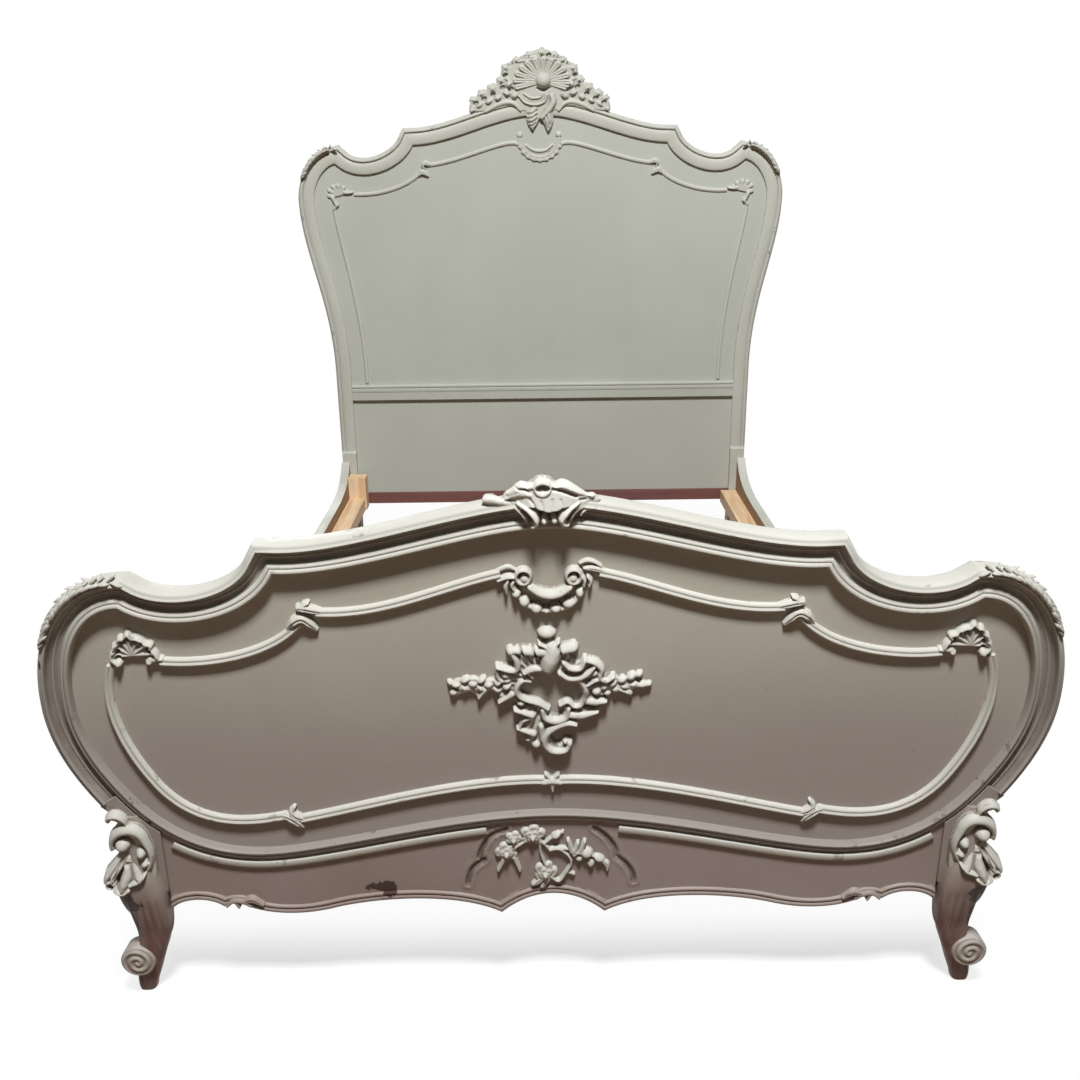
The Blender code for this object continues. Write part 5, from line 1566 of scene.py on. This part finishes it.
def apron_faces(count, rows):
    """Faces of the apron: columns of front points, then a row of back points below and one above."""
    under = count * rows
    over = under + count
    faces = []
    for i in range(count - 1):
        a = i * rows
        b = a + rows
        faces += [(a + j, b + j, b + j + 1, a + j + 1) for j in range(rows - 1)]
        faces.append((a, under + i, under + i + 1, b))
        faces.append((a + rows - 1, b + rows - 1, over + i + 1, over + i))
        faces.append((under + i, over + i, over + i + 1, under + i + 1))
    last = (count - 1) * rows
    faces.append((*range(rows), over, under))
    faces.append((*range(last, last + rows), over + count - 1, under + count - 1))
    return faces


def add_apron(outline, skin):
    """Shaped board under the footboard's bottom bead."""
    points, sides = outline
    top = (points[KNEE:] + sides[KNEE:] * (BEAD_WIDTH + GAP))[::-1]
    half = chain(APRON_END, APRON_CURVES, APRON_STEPS)[::-1]
    edge = np.vstack([half[:0:-1] * (-1, 1), half])
    even = np.linspace(-APRON_END[0], APRON_END[0], APRON_COLUMNS)
    x = np.unique(np.concatenate([edge[:, 0], even]).round(6))
    low = np.interp(x, edge[:, 0], edge[:, 1])
    high = np.interp(np.abs(x), top[:, 0], top[:, 1])
    shelf = low + APRON_NEAR[-1]
    z = np.hstack([low[:, None] + APRON_NEAR, shelf[:, None] + (high - shelf)[:, None] * APRON_FAR])
    places = np.stack([np.repeat(x, z.shape[1]), z.ravel()], 1)
    forward = apron_relief(places, edge)
    front = np.stack([places[:, 0], FOOT_Y + APRON_FRONT - forward, places[:, 1]], 1)
    back_y = np.full(len(x), FOOT_Y + APRON_BACK)
    verts = np.vstack([front, np.stack([x, back_y, low], 1), np.stack([x, back_y, high], 1)])
    tone = np.clip(forward / APRON_BEAD * APRON_TONE[0] + APRON_TONE[1], -1, 0.7)
    tone = tone * (np.abs(forward) > APRON_PLAIN)
    tone = np.concatenate([tone, np.zeros(2 * len(x))])
    add("foot_apron", verts, apron_faces(len(x), z.shape[1]), tone, skin)


def add_fillets(outline, skin):
    """Strips on the apron that follow the bottom bead."""
    points, sides = outline
    reach = points[:, 0] + sides[:, 0] * FILLET_OUTER
    run = [k for k in range(KNEE, len(points)) if FILLET_ENDS[0] <= reach[k] <= FILLET_ENDS[1]]
    both(sweep, "foot_fillet", (points[run], sides[run]), FILLET_PROFILE, FOOT_Y, skin)


# Carvings


def carved(patch, strokes, lumps=(), roses=(), plates=(), flutes=None, cell=CELL):
    """Relief on a patch, from plates, flutes over them, strokes, lumps and roses in that order."""
    relief = Relief(*patch, cell)
    for height, outline, *extra in plates:
        relief.plate(outline, height, *extra)
    if flutes:
        relief.ribs(*flutes)
    relief.draw(strokes)
    for lump in lumps:
        relief.lump(*lump)
    for rose in roses:
        relief.rose(*rose)
    return relief


def garland():
    relief = carved(GARLAND_PATCH, GARLAND, GARLAND_LUMPS)
    for x, z, ball_x, ball_z in GARLAND_CURLS:
        relief.ring(x, z, *GARLAND_RING)
        relief.lump(ball_x, ball_z, *GARLAND_BALL)
    return relief


def foot_crest():
    relief = carved(FOOT_CREST_PATCH, FOOT_CREST, FOOT_CREST_LUMPS, plates=FOOT_CREST_PLATES)
    relief.ring(*FOOT_CREST_RING)
    relief.draw(FOOT_CREST_EYE)
    return relief


def foot_shell():
    relief = carved(FOOT_SHELL_PATCH, FOOT_SHELL_STROKES, plates=FOOT_SHELL_PLATES)
    for tip in FOOT_SHELL_RIBS:
        relief.stroke([FOOT_SHELL_HUB, tip], *FOOT_SHELL_RIB)
    for x, z in FOOT_SHELL_PITS:
        relief.pit(x, z, *FOOT_SHELL_PIT)
    for lump in FOOT_SHELL_LUMPS:
        relief.lump(*lump)
    return relief


def head_crest():
    relief = carved(
        HEAD_CREST_PATCH, HEAD_CREST, HEAD_CREST_LUMPS, HEAD_CREST_ROSES, HEAD_CREST_PLATES,
        cell=HEAD_CREST_CELL,
    )
    relief.fan(*HEAD_FAN)
    for x, z in HEAD_CREST_HOLES:
        relief.pit(x, z, *HEAD_CREST_PIT)
    relief.draw(HEAD_CREST_BROW)
    return relief


def collar():
    relief = carved(COLLAR_PATCH, COLLAR, cell=HEAD_CELL)
    for angle in np.radians(COLLAR_ANGLES):
        x = COLLAR_CENTRE[0] + COLLAR_RADII[0] * math.cos(angle)
        z = COLLAR_CENTRE[1] + COLLAR_RADII[1] * math.sin(angle)
        relief.lump(x, z, *COLLAR_LOBE)
    for end in COLLAR_ENDS:
        relief.lump(*end, *COLLAR_KNOB)
    return relief


def knee():
    relief = carved(KNEE_PATCH, KNEE_STROKES, KNEE_LUMPS, plates=KNEE_PLATES)
    relief.ring(*KNEE_RING)
    for x, z, width, height in KNEE_PITS:
        relief.pit(x, z, KNEE_PIT_HALF, width, height)
    return relief


def seat_at(face_y, depths):
    """Seat of a carving: the y of its base and of its back."""
    return [face_y + depth for depth in depths]


def add_foot_carvings(skin, apron_skin, bright):
    """Everything carved on the footboard but its legs."""
    panel = seat_at(FOOT_Y + PANEL_FACE, (0, CARVING_SINK))
    apron = seat_at(FOOT_Y + APRON_FRONT, (0, CARVING_SINK))
    lip = seat_at(FOOT_Y - LIP_FRONT, FOOT_CREST_SEAT)
    cartouche = carved(
        CARTOUCHE_PATCH, CARTOUCHE, CARTOUCHE_LUMPS, plates=CARTOUCHE_PLATES, flutes=CARTOUCHE_FLUTES
    )
    carve("foot_cartouche", cartouche, panel, skin, CARTOUCHE_SAG, CARTOUCHE_MOVE)
    carve("foot_garland", garland(), panel, skin, move=GARLAND_MOVE)
    # The crest takes the lighter copy of the paint, a painted light
    carve("foot_crest", foot_crest(), lip, bright, FOOT_CREST_SAG, FOOT_CREST_MOVE, rounded=True)
    carve("foot_spray", carved(SPRAY_PATCH, SPRAY, SPRAY_LUMPS, SPRAY_ROSES), apron, skin)
    carve("foot_low_knot", carved(FOOT_LOW_KNOT_PATCH, FOOT_LOW_KNOT), panel, skin, instead=False)
    shell = foot_shell()
    upper = carved(FOOT_BREAK_PATCH, FOOT_BREAK)
    lower = carved(FOOT_LOW_BREAK_PATCH, FOOT_LOW_BREAK)
    scroll = carved(APRON_SCROLL_PATCH, APRON_SCROLL)
    for hand, mirror in HANDS:
        carve("foot_shell_" + hand, shell, panel, skin, move=FOOT_SHELL_MOVE, mirror=mirror)
        carve("foot_break_" + hand, upper, panel, skin, mirror=mirror, instead=False)
        carve("foot_low_break_" + hand, lower, panel, skin, mirror=mirror, instead=False)
        carve("apron_scroll_" + hand, scroll, apron, apron_skin, mirror=mirror, instead=False)


def add_head_carvings(skin):
    """Everything carved on the headboard."""
    panel = seat_at(HEAD_Y + PANEL_FACE, (0, CARVING_SINK))
    lip = seat_at(HEAD_Y - HEAD_LIP_FRONT, HEAD_CREST_SEAT)
    carve("head_crest", head_crest(), lip, skin, HEAD_CREST_SAG, rounded=True)
    carve("head_collar", collar(), panel, skin, move=COLLAR_MOVE)
    shell = carved(HEAD_SHELL_PATCH, HEAD_SHELL_STROKES, cell=HEAD_CELL)
    shell.fan(*HEAD_SHELL_FAN)
    leaf = carved(HEAD_BREAK_PATCH, HEAD_BREAK, cell=HEAD_CELL)
    for hand, mirror in HANDS:
        carve("head_shell_" + hand, shell, panel, skin, mirror=mirror)
        carve("head_break_" + hand, leaf, panel, skin, move=HEAD_BREAK_MOVE, mirror=mirror, instead=False)


def add_knees(skin):
    """Carved knee of each front leg."""
    seat = seat_at(FOOT_Y, KNEE_SEAT)
    both(carve, "foot_knee", knee(), seat, skin, KNEE_SAG, rounded=True, instead=False)


# Leaf strands, legs and toes


def unit_leaf():
    """Points, tones and faces of an egg along x with a crease along its outer side z."""
    verts, tone = [], []
    for u in np.linspace(-LEAF_END, LEAF_END, LEAF_RINGS):
        size = math.sqrt(1 - u * u) * (1 - LEAF_TAPER * u)
        for k in range(LEAF_AROUND):
            a = 2 * math.pi * k / LEAF_AROUND
            crease = LEAF_CREASE * math.exp(-((math.cos(a) / LEAF_CREASE_HALF) ** 2))
            out = math.sin(a) * size * (1 - crease)
            verts.append((u, math.cos(a) * size, out))
            tone.append(max(-1.0, min(0.5, LEAF_TONE[0] * out + LEAF_TONE[1])))
    return np.array(verts), np.array(tone), ring_faces(LEAF_RINGS, LEAF_AROUND)


def ear_leaf(i, unit, place, away, face_y):
    """Points of one leaf of a strand at a place of the sight edge, where away points outward."""
    share = (i + 0.5) / EAR_LEAVES
    ahead = np.array((away[1], -away[0]))
    vary = EAR_VARY[0] * math.sin(EAR_VARY[1] * i)
    size = EAR_LEAF_SIZE * (EAR_LEAST + EAR_SWELL * math.sin(math.pi * share) + vary)
    w, y, lean = EAR_ROWS[i % len(EAR_ROWS)]
    lean = lean + EAR_SWAY[0] * math.sin(EAR_SWAY[1] * i)
    centre = place + away * (CAP_WIDTH + w)
    reach, wide, rise = (unit * size).T
    flat = centre + np.outer(reach * math.cos(lean), ahead) + np.outer(rise + reach * math.sin(lean), away)
    return np.stack([flat[:, 0], face_y + y + wide, flat[:, 1]], 1)


def add_ear_leaves(board, outline, face_y, skin):
    """Strand of overlapping leaves in rows along the outer edge of the cap."""
    line, out = (part[EAR : EAR + EAR_RUN] for part in outline)
    along = np.concatenate([[0], np.cumsum(np.linalg.norm(np.diff(line, axis=0), axis=1))])
    unit, unit_tone, unit_faces = unit_leaf()
    verts, faces = [], []
    for i in range(EAR_LEAVES):
        at = (i + 0.5) / EAR_LEAVES * along[-1]
        place = np.array([np.interp(at, along, line[:, k]) for k in (0, 1)])
        away = np.array([np.interp(at, along, out[:, k]) for k in (0, 1)])
        verts.append(ear_leaf(i, unit, place, away / np.linalg.norm(away), face_y))
        faces += [tuple(len(unit) * i + n for n in face) for face in unit_faces]
    tone = np.tile(unit_tone, EAR_LEAVES)
    both(add, board + "_ear_leaf", np.vstack(verts), faces, tone, skin)


def post_loop(outline):
    """Outline of the flat post behind a leg, up to the end of the stile."""
    points, sides = outline
    end = lefts(points[KNEE - 1 : KNEE + 1])[0]
    seam = BEAD_WIDTH + GAP
    edge = points[KNEE:] + sides[KNEE:] * seam
    inner_x = APRON_END[0] + GAP
    edge = edge[edge[:, 0] > inner_x][1:]
    start = points[KNEE]
    inner = [(inner_x, edge[-1][1] - POST_STEP), (inner_x, POST_OUTER[-1][1])]
    return np.vstack([start + end * CAP_WIDTH, start + end * seam, edge, inner, POST_OUTER[::-1]])


def leg_shaft():
    """Points and tones of a front leg's curved shaft, a tube of rings with soft flutes."""
    z = np.linspace(0, LEG_SECTIONS[-1][0], LEG_ROWS)
    spans = smooth_line(LEG_SECTIONS, LEG_STEPS)
    inner, outer, front, back = (np.interp(z, spans[:, 0], spans[:, k])[:, None] for k in (1, 2, 3, 4))
    turn = 2 * np.pi * (np.arange(LEG_SIDES) + 0.5) / LEG_SIDES
    reach = (np.abs(np.cos(turn)) ** LEG_SQUARE + np.abs(np.sin(turn)) ** LEG_SQUARE) ** (-1 / LEG_SQUARE)
    dx = (outer - inner) / 2 * (np.cos(turn) * reach)
    dy = (back - front) / 2 * (np.sin(turn) * reach)
    x = (inner + outer) / 2 + dx
    y = (front + back) / 2 + dy
    flute = FLUTE_DEPTH * np.cos((x - FLUTE_X) * 2 * np.pi / FLUTE_STEP)
    for start, length in (FLUTE_LOW, FLUTE_HIGH):
        flute = flute * np.clip((z - start) / length, 0, 1)[:, None]
    out = flute / np.hypot(dx, dy)
    verts = np.stack([x + dx * out, FOOT_Y + y + dy * out, np.repeat(z[:, None], LEG_SIDES, 1)], 2)
    return verts.reshape(-1, 3), np.clip(flute.ravel() * FLUTE_TONE, -0.6, 0.3)


def add_legs(outline, skin):
    """Front legs: the curved shaft and the flat post behind it."""
    shaft, tone = leg_shaft()
    loop = post_loop(outline)
    ends = [np.insert(loop, 1, FOOT_Y + y, axis=1) for y in (POST_FRONT, FRAME_BACK)]
    verts = np.vstack([shaft, *ends])
    faces = ring_faces(LEG_ROWS, LEG_SIDES)
    faces += [tuple(len(shaft) + n for n in face) for face in ring_faces(len(ends), len(loop))]
    tone = np.concatenate([tone, np.zeros(len(verts) - len(shaft))])
    both(add, "foot_leg", verts, faces, tone, skin)


def toe_ring(radius, turn, y):
    """Ring of points about the toe's middle."""
    x = TOE_CENTRE[0] + radius * np.cos(turn)
    z = TOE_CENTRE[1] + radius * np.sin(turn)
    return np.stack([x, np.broadcast_to(FOOT_Y + y, x.shape), z], 1)


def add_toes(skin):
    """Scroll toe of each front leg: a round disc with a spiral on its face."""
    turn = 2 * np.pi * np.arange(TOE_AROUND) / TOE_AROUND
    rings, tones = [], []
    for r in (*TOE_FACE, *TOE_EDGE):
        wave = np.cos(2 * np.pi * (r * TOE_RADIUS / TOE_TURN) + turn)
        fade = min(1.0, (TOE_PLAIN - min(r, TOE_PLAIN)) / TOE_FADE) * min(1.0, r / TOE_HUB)
        dome = TOE_DOME * math.sqrt(max(0.0, 1 - r**4))
        rings.append(toe_ring(r * TOE_RADIUS, turn, TOE_FRONT - dome - TOE_WAVE * wave * fade))
        tones.append(np.clip(wave * TOE_TONE * fade, -1, 0.5))
    for y, share in TOE_SIDE:
        rings.append(toe_ring(TOE_EDGE[-1] * TOE_RADIUS * share, turn, y))
        tones.append(np.zeros(TOE_AROUND))
    faces = ring_faces(len(rings), TOE_AROUND)
    verts, tone = np.vstack(rings), np.concatenate(tones)
    both(add, "foot_toe", verts, faces, tone, skin, instead=False)


def dress(node, material):
    """Gives a node of the model a finished material and slightly rounded edges."""
    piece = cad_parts[node]
    piece.data.materials.clear()
    piece.data.materials.append(material)
    edge = piece.modifiers.new("edge", "BEVEL")
    edge.width = EDGE_ROUND
    edge.segments = 2
    edge.limit_method = "ANGLE"


def dress_flat_pieces(panel, head_panel):
    """Paint with painted shade on the footboard's panel, paint on the headboard's flat pieces, and stain on
    its bottom rail.
    """
    dress("foot_panel", panel)
    for node in ("head_panel", "head_lower_panel", "head_mid_rail"):
        dress(node, head_panel)
    dress("head_bottom_rail", wood("stain", STAIN, STAIN_DARK, "X"))


def dress_rails():
    """Wood of the side rails, their battens and the block, and iron of the hooks."""
    pine = wood("pine", PINE, PINE_DARK, "Y")
    for side, out in (("left", -1), ("right", 1)):
        dress("rail_" + side, wood("rail_wood_" + side, RAIL_WOOD, RAIL_DARK, "Y", out))
        dress("batten_" + side, pine)
        for place in ("foot", "head"):
            dress(f"{place}_hook_{side}", iron(f"iron_{place}_{side}"))
    dress("corner_block_left", wood("block_pine", PINE, BLOCK_DARK, "Z"))


# Floor, light and camera


def add_floor():
    """Pale floor that keeps the shadow near the bed, is white further off, and throws little light back."""
    n = Nodes(bpy.data.materials.new("floor"))
    seen = n.seen()
    n.feed(n.shader, {"Base Color": n.mix(seen, FLOOR_BOUNCE, FLOOR_COLOUR), "Roughness": FLOOR_ROUGH})
    glow = n.node("ShaderNodeEmission", {"Color": WHITE, "Strength": 1.0})["Emission"]
    away = n.node("ShaderNodeVectorMath", {0: n.place}, operation="LENGTH")["Value"]
    far = n.ramp(away, *FLOOR_FADE, FLOOR_GLOW, 1.0)
    aside = n.ramp(n.math("ABSOLUTE", n.axis("X")), *FLOOR_SIDES, FLOOR_GLOW, 1.0)
    deep = n.ramp(n.axis("Y"), *FLOOR_DEPTH, FLOOR_GLOW, FLOOR_BEHIND)
    share = n.times(seen, n.most(far, aside, deep))
    blend = n.node("ShaderNodeMixShader", {"Fac": share, 1: n.shader.outputs["BSDF"], 2: glow})["Shader"]
    n.feed(n.tree.nodes["Material Output"], {"Surface": blend})
    mesh = bpy.data.meshes.new("floor")
    r = FLOOR_REACH
    mesh.from_pydata([(-r, -r, 0), (r, -r, 0), (r, r, 0), (-r, r, 0)], [], [(0, 1, 2, 3)])
    mesh.materials.append(n.owner)
    floor = bpy.data.objects.new("floor", mesh)
    bpy.context.scene.collection.objects.link(floor)


def add_world():
    """White to the camera and in reflections. Everything else gets a soft light that grows to the zenith."""
    n = Nodes(bpy.data.worlds.new("studio"))
    sky = n.ramp(n.part(n.coordinates["Generated"], "Z"), 0.0, 1.0, FILL, ZENITH, "LINEAR")
    strength = n.ramp(n.seen(), 0.0, 1.0, sky, 1.0, "LINEAR")
    n.feed(n.tree.nodes["Background"], {"Color": WHITE, "Strength": strength})
    bpy.context.scene.world = n.owner


def add_light(name, place, aim, size, power):
    """Soft box that the camera doesn't see."""
    data = bpy.data.lights.new(name, "AREA")
    data.shape = "RECTANGLE"
    data.size, data.size_y = size
    data.energy = power
    light = bpy.data.objects.new(name, data)
    light.location = place
    light.rotation_euler = (Vector(aim) - Vector(place)).to_track_quat("-Z", "Y").to_euler()
    light.visible_camera = False
    bpy.context.scene.collection.objects.link(light)


def add_camera():
    """Camera at the photograph's place and angle."""
    data = bpy.data.cameras.new("camera")
    data.lens = LENS
    data.sensor_width = SENSOR
    camera = bpy.data.objects.new("camera", data)
    tilt = Matrix.Rotation(math.radians(90 - CAMERA_DOWN), 4, "X")
    roll = Matrix.Rotation(math.radians(CAMERA_ROLL), 4, "Z")
    camera.matrix_world = Matrix.Translation(CAMERA_PLACE) @ tilt @ roll
    bpy.context.scene.collection.objects.link(camera)
    bpy.context.scene.camera = camera


def paints():
    """Finished paints by what they are for."""
    return {
        "skin": paint("paint", PAINT, PAINT_DARK, dirt_and_shade=0.7),
        "crest": paint("crest_lit_paint", CREST_LIT_PAINT, CREST_LIT_DARK, dirt_and_shade=0.6),
        "apron": paint("apron_paint", APRON, APRON_DARK, dirt_and_shade=0.7, chips=APRON_CHIPS),
        "legs": paint("leg_paint", LEG_PAINT, LEG_DARK, dirt_and_shade=0.75, stain=0.85, chips=LEG_CHIPS),
        "toes": paint("toe_paint", PAINT, PAINT_DARK, stain=0.45),
        "frame": paint("frame_paint", PAINT, PAINT_DARK, dirt_and_shade=0.5, chips=FRAME_CHIPS, fade=FRAME_SHADE_FADE),
        "panel": paint("panel_paint", PANEL_SHADED_PAINT, PANEL_SHADED_DARK, wear=0.2, fade=PANEL_SHADE_FADE, brushed=BRUSHED_ACROSS),
        "head_skin": paint("head_frame_paint", HEAD_FRAME, HEAD_FRAME_DARK, dirt_and_shade=0.4),
        "head_panel": paint("head_paint", HEAD_PAINT, HEAD_DARK, dirt_and_shade=0.3, wear=0.2),
    }


def add_pieces(coats):
    """Every piece of the boards, and finished materials on the nodes that stay."""
    foot, head = foot_outline(), head_outline()
    skin, head_skin = coats["skin"], coats["head_skin"]
    add_foot_frame(foot, coats["frame"])
    add_head_frame(head, head_skin)
    add_mid_bead(coats["head_panel"])
    add_foot_trims(skin)
    add_head_trims(head_skin)
    add_apron(foot, coats["apron"])
    add_fillets(foot, skin)
    add_foot_carvings(skin, coats["apron"], coats["crest"])
    add_head_carvings(head_skin)
    add_ear_leaves("foot", foot, FOOT_Y, skin)
    add_ear_leaves("head", head, HEAD_Y, head_skin)
    add_legs(foot, coats["legs"])
    add_knees(skin)
    add_toes(coats["toes"])
    dress_flat_pieces(coats["panel"], coats["head_panel"])
    dress_rails()


def main():
    bpy.context.scene.view_settings.view_transform = "Standard"
    add_camera()
    add_world()
    add_floor()
    add_light("key", KEY_PLACE, KEY_AIM, KEY_SIZE, KEY_POWER)
    add_light("back", BACK_PLACE, BACK_AIM, BACK_SIZE, BACK_POWER)
    add_pieces(paints())


main()
